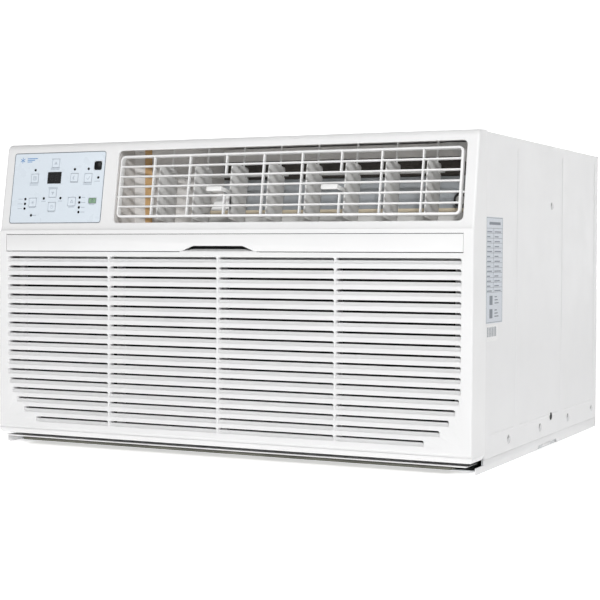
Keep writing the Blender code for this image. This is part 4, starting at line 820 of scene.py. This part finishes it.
def duct_seals():
    """What shows behind the louvres: seals, the sill, the throat's back with a dark plate of painted
    shade over its opening, and a grommet.
    """
    low, high = (Vector(c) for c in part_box("outlet_duct"))
    floor, left, right = low.z + 0.002, low.x + 0.002, high.x - 0.002
    throat = left + 0.094
    back = min(high.y - 0.0045, FRONT + 0.100)
    tan = bmesh.new()
    along = Vector((0.094, 0.063)).normalized()
    start = Vector((left, FRONT + 0.052)) + along * 0.0125
    stop = start + along * 0.0085
    inward = Vector((along.y, -along.x)) * 0.0016
    shift = inward * 0.25
    ring = [start + shift, stop + shift, stop + inward, start + inward]
    face = tan.faces.new([tan.verts.new((p.x, p.y, floor + 0.001)) for p in ring])
    out = bmesh.ops.extrude_face_region(tan, geom=[face])
    bmesh.ops.translate(tan, vec=(0, 0, high.z - floor - 0.005),
                        verts=new_vertices(out))
    fitted(finished("side_seal", closed(tan), SEAL_TAN), "chassis", "duct_foam")
    sill_start, wide_start, stop = throat - 0.030, throat + 0.003, right - 0.0006
    for name, mat, start, y, z, round_off in (
            ("outlet_sill", SCROLL_GREY, sill_start, (FRONT + 0.076, FRONT + 0.084),
             (floor + 0.0004, floor + 0.0150), 0.0012),
            ("floor_seal", SEAL_CREAM, sill_start, (FRONT + 0.0765, FRONT + 0.0860),
             (floor + 0.0152, floor + 0.0195), 0.0010),
            ("throat_back", THROAT_BLUE, wide_start, (back, back + 0.001),
             (floor + 0.001, floor + 0.056), 0.0003),
            # painted shade: this dark plate over the upper throat stands for the shaded opening of the
            # scroll
            ("throat_shadow", THROAT_SHADE, wide_start, (back, back + 0.001),
             (floor + 0.0565, high.z - 0.0190), 0.0003),
            ("throat_lintel", DUCT_GREY, wide_start, (back - 0.0014, back + 0.001),
             (high.z - 0.0188, high.z - 0.0036), 0.0005)):
        shape = bmesh.new()
        add_box(shape, (start, stop), y, z, round_off)
        fitted(finished(name, shape, mat), "chassis", "duct_foam")
    gusset = bmesh.new()
    top = high.z - 0.0035
    add_prism(gusset, [(right - 0.056, top), (right - 0.001, top - 0.044), (right - 0.001, top)],
              "XZ", FRONT + 0.092, FRONT + 0.096, 0.0006)
    fitted(finished("duct_gusset", closed(gusset), SCROLL_GREY), "chassis", "duct_foam")
    grommet, core = bmesh.new(), bmesh.new()
    place = Vector((right - 0.034, FRONT + 0.094, floor + 0.029))
    turn = Matrix.Rotation(math.pi / 2, 4, "X")
    for shape, radius, depth in ((grommet, 0.0092, 0.004), (core, 0.0058, 0.006)):
        add_rod(shape, place, radius, depth, turn, 32, radius * 0.92)
    add_box(core, (place.x - 0.002, place.x + 0.034), (place.y + 0.0005, place.y + 0.0015),
            (place.z - 0.002, place.z + 0.002), 0.0003)
    fitted(finished("wire_grommet", closed(grommet), RUBBER), "chassis", "rubber")
    fitted(finished("grommet_core", closed(core), SCROLL_GREY), "chassis", "duct_foam")


duct_seals()

# ---------------------------------------------------------------- steel case

SHEET = 0.0012
COVER_FOOT = COVER_LOW.z
SCREW_ROWS = ((-0.128, 0.0262), (-0.006, 0.0262), (0.116, 0.0262), (0.231, 0.0262))
BEADS = (SEAM + 0.112, SEAM + 0.296, SEAM + 0.451)


def cover_sheet():
    """Folded sheet with raised beads and a pressed line near its foot."""
    shape = bmesh.new()
    radius = 0.0045
    path = [(-CASE_SIDE, COVER_FOOT)] + arc((-CASE_SIDE + radius, TOP - radius), radius, 180, 90, 6)
    path += arc((CASE_SIDE - radius, TOP - radius), radius, 90, 0, 6) + [(CASE_SIDE, COVER_FOOT)]
    y0, y1 = SEAM + 0.0004, BACK - SHEET - 0.0004
    corners = [shape.verts.new((x, y0, z)) for x, z in path]
    edges = [shape.edges.new(pair) for pair in zip(corners, corners[1:])]
    out = bmesh.ops.extrude_edge_only(shape, edges=edges)
    moved = new_vertices(out)
    bmesh.ops.translate(shape, verts=moved, vec=(0, y1 - y0, 0))
    bmesh.ops.recalc_face_normals(shape, faces=shape.faces)
    if sum(f.normal.z for f in shape.faces) < 0:
        bmesh.ops.reverse_faces(shape, faces=shape.faces)
    sheet = finished("case_cover", shape, CASE_WHITE)
    fold = sheet.modifiers.new("sheet", "SOLIDIFY")
    fold.thickness = SHEET
    fold.offset = -1
    keep_result(sheet)
    fitted(sheet, "chassis", "painted_steel", "cabinet_cover")
    for side in (-1, 1):
        beads = bmesh.new()
        for y in BEADS:
            add_bead(beads, side, (y - 0.0030, y + 0.0030), (0.050, TOP - 0.012))
        for start, stop in zip((y0 + 0.004,) + BEADS, BEADS + (y1,)):
            add_bead(beads, side, (start + 0.012, min(stop - 0.010, y1 - 0.004)), (0.0365, 0.0395),
                     0.0004)
        word = "right" if side > 0 else "left"
        fitted(finished(f"case_beads_{word}", closed(beads), CASE_WHITE, angle=50), "chassis",
               "painted_steel")


def add_bead(shape, side, y, z, rise=0.00075):
    """A pressed bead: a low half-round ridge with tapering ends on the case's side."""
    made = bmesh.ops.create_uvsphere(shape, u_segments=24, v_segments=16, radius=1.0)
    wide, tall = (y[1] - y[0]) / 2, (z[1] - z[0]) / 2
    end = min(wide, tall) * 1.6
    straight = max(wide, tall) - end
    for vertex in made["verts"]:
        x, across, up = vertex.co
        along = up if tall > wide else across
        place = math.copysign(straight, along) + along * end if abs(along) > 0.02 else 0.0
        reach = CASE_SIDE - 0.0001 + abs(x) * rise if side * x > 0 else CASE_SIDE - 0.0002
        shift = (across * wide, place) if tall > wide else (place, up * tall)
        vertex.co = (side * reach, (y[0] + y[1]) / 2 + shift[0], (z[0] + z[1]) / 2 + shift[1])


def case_screws():
    """Pan-head cross screws along the foot of both sides, and one higher up; a flat dark disk of painted
    shade stands for a hole in each side.
    """
    head = bmesh.new()
    for side in (-1, 1):
        for y, z in SCREW_ROWS + ((0.036, 0.2937),):
            radius = 0.0048 if z > 0.1 else 0.0056
            turn = Matrix.Rotation(side * math.pi / 2, 4, "Y")
            made = add_rod(head, (side * (CASE_SIDE + 0.0003), y, z), radius, 0.00075, turn, 24,
                           radius * 0.72)
            top = max(made["verts"], key=lambda v: side * v.co.x)
            caps = [f for f in {f for v in made["verts"] for f in v.link_faces}
                    if len(f.verts) > 4 and side * f.normal.x > 0.9 and top in f.verts]
            bmesh.ops.inset_region(head, faces=caps, thickness=radius * 0.35, depth=0.0)
            bmesh.ops.translate(head, verts=list({v for f in caps for v in f.verts}),
                                vec=(-side * 0.0003, 0, 0))
    fitted(finished("case_screws", closed(head), SCREW_STEEL), "chassis", "galvanised")
    # painted shade: a flat dark disk on each side stands for a hole in the sheet
    holes = bmesh.new()
    for side in (-1, 1):
        add_prism_x(holes, side, arc((0.0385, 0.0356), 0.0048, 0, 330, 11), 0.0003)
    fitted(finished("case_hole_shade", closed(holes), DARK), "chassis", "dark_window")


def add_prism_x(shape, side, points, lift):
    """A flat mark on the case's side."""
    add_prism(shape, points, "YZ", side * (CASE_SIDE - 0.0004), side * (CASE_SIDE + lift))


def pan_nose():
    """Front tongue of the pan that shows as a dark line under the panel; the dark colour is partly the
    pan's own edge and partly painted shade of the gap under the panel.
    """
    side, front = HALF - 0.028, FRONT + 0.012
    nose = bmesh.new()
    add_box(nose, (-side, side), (front, front + 0.0014), (0.0046, PANEL_FOOT - 0.0003), 0.0004)
    add_box(nose, (-side, side), (front + 0.0010, SEAM + 0.002), (0.0046, 0.0060), 0.0003)
    fitted(finished("pan_nose", closed(nose), PAN_EDGE_AND_SHADE), "chassis", "painted_steel")


def base_pan():
    """Pan with a rolled lower edge, a lifting notch on each side and a clip in it."""
    low, high = (Vector(c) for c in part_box("base_pan"))
    y0, y1 = SEAM + 0.0003, high.y
    notch = (SEAM + 0.203, SEAM + 0.278)
    points = [(y0, PANEL_FOOT - 0.0003), (FRONT + 0.016, PANEL_FOOT - 0.0003),
              (FRONT + 0.016, 0.0012), (FRONT + 0.019, 0.0),
              (notch[0] - 0.006, 0.0), (notch[0], 0.0048), (notch[1], 0.0048),
              (notch[1] + 0.006, 0.0), (y1 - 0.014, 0.0)]
    points += arc((y1 - 0.012, 0.012), 0.012, 280, 350, 5) + [(y1, COVER_FOOT - 0.0003),
                                                             (y0, COVER_FOOT - 0.0003)]
    for side in (-1, 1):
        skirt = bmesh.new()
        start, stop = sorted((side * (CASE_SIDE - 0.0016), side * (CASE_SIDE - 0.0004)))
        add_prism(skirt, points, "YZ", start, stop, 0.0004)
        word = "right" if side > 0 else "left"
        fitted(finished(f"pan_skirt_{word}", closed(skirt), CASE_WHITE), "chassis",
               "painted_steel")
        clip = bmesh.new()
        x = sorted((side * (CASE_SIDE - 0.006), side * (CASE_SIDE - 0.0012)))
        add_box(clip, x, (notch[0] + 0.020, notch[1] - 0.022), (0.0010, 0.0062), 0.0008)
        add_box(clip, x, (notch[0] + 0.030, notch[1] - 0.014), (0.0036, 0.0050), 0.0004)
        fitted(finished(f"pan_clip_{word}", closed(clip), CASE_WHITE), "chassis", "painted_steel")
    floor = bmesh.new()
    add_box(floor, (-CASE_SIDE + 0.0018, CASE_SIDE - 0.0018), (y0, y1 - 0.003), (0.0, 0.0014), 0.0004)
    for rib in range(5):
        y = y0 + 0.06 + rib * 0.085
        add_box(floor, (-0.24, 0.24), (y, y + 0.012), (0.0010, 0.0030), 0.0008)
    for side in (-1, 1):
        x = sorted((side * (CASE_SIDE - 0.0034), side * (CASE_SIDE - 0.0020)))
        add_box(floor, x, (y0, y1 - 0.003), (0.0, high.z), 0.0004)
    fitted(finished("pan_floor", closed(floor), GALVANISED), "chassis", "painted_steel", "base_pan")


def rear_guard():
    """Rear sheet with rounded slots, wires across them and its screws."""
    low, high = (Vector(c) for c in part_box("rear_grille"))
    shape = bmesh.new()
    add_box(shape, (low.x, high.x), (low.y, high.y), (low.z, high.z), 0.0004, 1)
    guard = finished("outdoor_guard", closed(shape), CASE_WHITE)
    holes = bmesh.new()
    columns, rows, margin, rib = 12, 3, 0.030, 0.016
    wide = (high.x - low.x - 2 * margin - (columns - 1) * rib) / columns
    tall = (high.z - low.z - 2 * margin - (rows - 1) * rib) / rows
    for column in range(columns):
        for row in range(rows):
            x = low.x + margin + column * (wide + rib)
            z = low.z + margin + row * (tall + rib)
            add_prism(holes, round_rectangle(x, x + wide, z, z + tall, 0.006, 0.006, 4), "XZ",
                      low.y - 0.01, high.y + 0.01)
    cut_away(guard, finished("guard_holes", closed(holes), DARK))
    fitted(guard, "chassis", "painted_steel", "rear_grille")
    wires = bmesh.new()
    for column in range(columns):
        x = low.x + margin + column * (wide + rib) + wide / 2
        for offset in (-0.0062, 0.0, 0.0062):
            add_rod(wires, (x + offset, low.y - 0.0010, (low.z + high.z) / 2), 0.0009,
                    high.z - low.z - 0.05, sides=8)
    fitted(finished("guard_wires", closed(wires), CASE_WHITE), "chassis", "painted_steel")
    screws = bmesh.new()
    for x in (low.x + 0.010, 0.0, high.x - 0.010):
        for z in (low.z + 0.012, high.z - 0.012):
            add_rod(screws, (x, high.y - 0.0003, z), 0.0038, 0.0004,
                    Matrix.Rotation(-math.pi / 2, 4, "X"), 20, 0.0028)
    fitted(finished("guard_screws", closed(screws), SCREW_STEEL), "chassis", "galvanised")


def side_labels():
    """Rating label and sticker with plain bars only."""
    paper, sticker, bars = bmesh.new(), bmesh.new(), bmesh.new()
    y0, y1, z0, z1 = -0.2115, -0.1555, 0.160, 0.2755
    add_prism_x(paper, 1, round_rectangle(y0, y1, z0, z1, 0.001, 0.001, 2), 0.00012)
    add_prism_x(sticker, 1, round_rectangle(-0.2090, -0.1705, 0.1405, 0.1578, 0.0008, 0.0008, 2),
                0.00012)

    def bar(left, right, low, high):
        add_prism_x(bars, 1, [(left, low), (right, low), (right, high), (left, high)], 0.0002)

    rows, column = 13, y0 + 0.024
    rule = (z1 - z0 - 0.046) / rows
    bar(y0 + 0.010, y1 - 0.008, z1 - 0.0085, z1 - 0.0055)
    for row in range(rows + 1):
        z = z1 - 0.0125 - row * rule
        bar(y0 + 0.0012, y1 - 0.0012, z, z + 0.0004)
        if row < rows:
            reach = (0.90, 0.55, 0.75, 0.62)[row % 4]
            bar(y0 + 0.003, y0 + 0.003 + 0.018 * reach, z - 0.0042, z - 0.0030)
            bar(column + 0.004, column + 0.004 + 0.024 * reach, z - 0.0042, z - 0.0030)
    bar(column, column + 0.0005, z, z1 - 0.0125)
    for low, high in ((z1 - 0.0013, z1 - 0.0008), (z0 + 0.0008, z0 + 0.0013)):
        bar(y0 + 0.0012, y1 - 0.0012, low, high)
    for left in (y0 + 0.0008, y1 - 0.0013):
        bar(left, left + 0.0005, z0 + 0.0008, z1 - 0.0008)
    for step in range(2):
        foot = z0 + 0.0055 + step * 0.0145
        bar(y0 + 0.012, y0 + 0.022, foot, foot + 0.0100)
        for line in range(3):
            bar(y0 + 0.029, y0 + 0.043 - 0.003 * line, foot + 0.0012 + 0.0034 * line,
                foot + 0.0024 + 0.0034 * line)
    for stripe in range(11):
        start = -0.2065 + stripe * 0.0029
        bar(start, start + (0.0016, 0.0008, 0.0012)[stripe % 3], 0.1455, 0.1560)
    fitted(finished("rating_label", closed(paper), LABEL_BLUE), "chassis", "white_plastic")
    fitted(finished("stock_sticker", closed(sticker), LABEL_WHITE), "chassis", "white_plastic")
    fitted(finished("label_bars", closed(bars), INK_GREY), "chassis", "dark_window")


cover_sheet()
case_screws()
base_pan()
pan_nose()
rear_guard()
side_labels()

# ---------------------------------------------------------------- floor, light, camera


def glow(name, strength):
    """A white studio surface that also gives light."""
    made = Finish(name, (0.92, 0.92, 0.92), 0.8)
    made.shader.inputs["Emission Color"].default_value = (1, 1, 1, 1)
    made.shader.inputs["Emission Strength"].default_value = strength
    return made.mat


def studio():
    floor = bmesh.new()
    bmesh.ops.create_grid(floor, x_segments=1, y_segments=1, size=9.0,
                          matrix=Matrix.Translation((0, 0, -0.0005)))
    finished("floor", floor, glow("studio_floor", 0.55))
    world = bpy.data.worlds.new("studio_world")
    world.use_nodes = True
    world.node_tree.nodes["Background"].inputs["Color"].default_value = (1.0, 1.0, 1.0, 1)
    world.node_tree.nodes["Background"].inputs["Strength"].default_value = 0.15
    bpy.context.scene.world = world
    wall = bmesh.new()
    bmesh.ops.create_grid(wall, x_segments=1, y_segments=1, size=7.5,
                          matrix=Matrix.Translation((-3.0, 8.0, 7.0))
                          @ Matrix.Rotation(math.pi / 2, 4, "X"))
    finished("backdrop", wall, glow("studio_wall", 1.0))
    bpy.context.scene.view_settings.view_transform = "Standard"
    lamps = (("key_light", (1.5, -2.9, 1.7), 0.28, 55.0),
             ("left_fill", (-1.3, -2.6, 1.3), 1.1, 4.0), ("top_light", (0.0, 0.2, 2.6), 2.4, 9.0))
    for name, place, size, power in lamps:
        light = bpy.data.lights.new(name, "AREA")
        light.shape = "DISK"
        light.size = size
        light.energy = power
        lamp = bpy.data.objects.new(name, light)
        bpy.context.scene.collection.objects.link(lamp)
        lamp.location = place
        lamp.rotation_euler = (Vector((0, 0, 0.18)) - lamp.location).to_track_quat("-Z", "Y").to_euler()


def camera():
    lens = bpy.data.cameras.new("view_camera")
    lens.sensor_width = 36.0
    lens.lens = 87.57
    lens.clip_start = 0.05
    eye = bpy.data.objects.new("view_camera", lens)
    eye.location = (0.8135, -1.7072, 0.2378)
    turn = Matrix.Rotation(0.4537, 3, "Z") @ Matrix.Rotation(1.5373, 3, "X")
    eye.rotation_euler = (turn @ Matrix.Rotation(0.0032, 3, "Z")).to_euler()
    bpy.context.scene.collection.objects.link(eye)
    bpy.context.scene.camera = eye


studio()
camera()
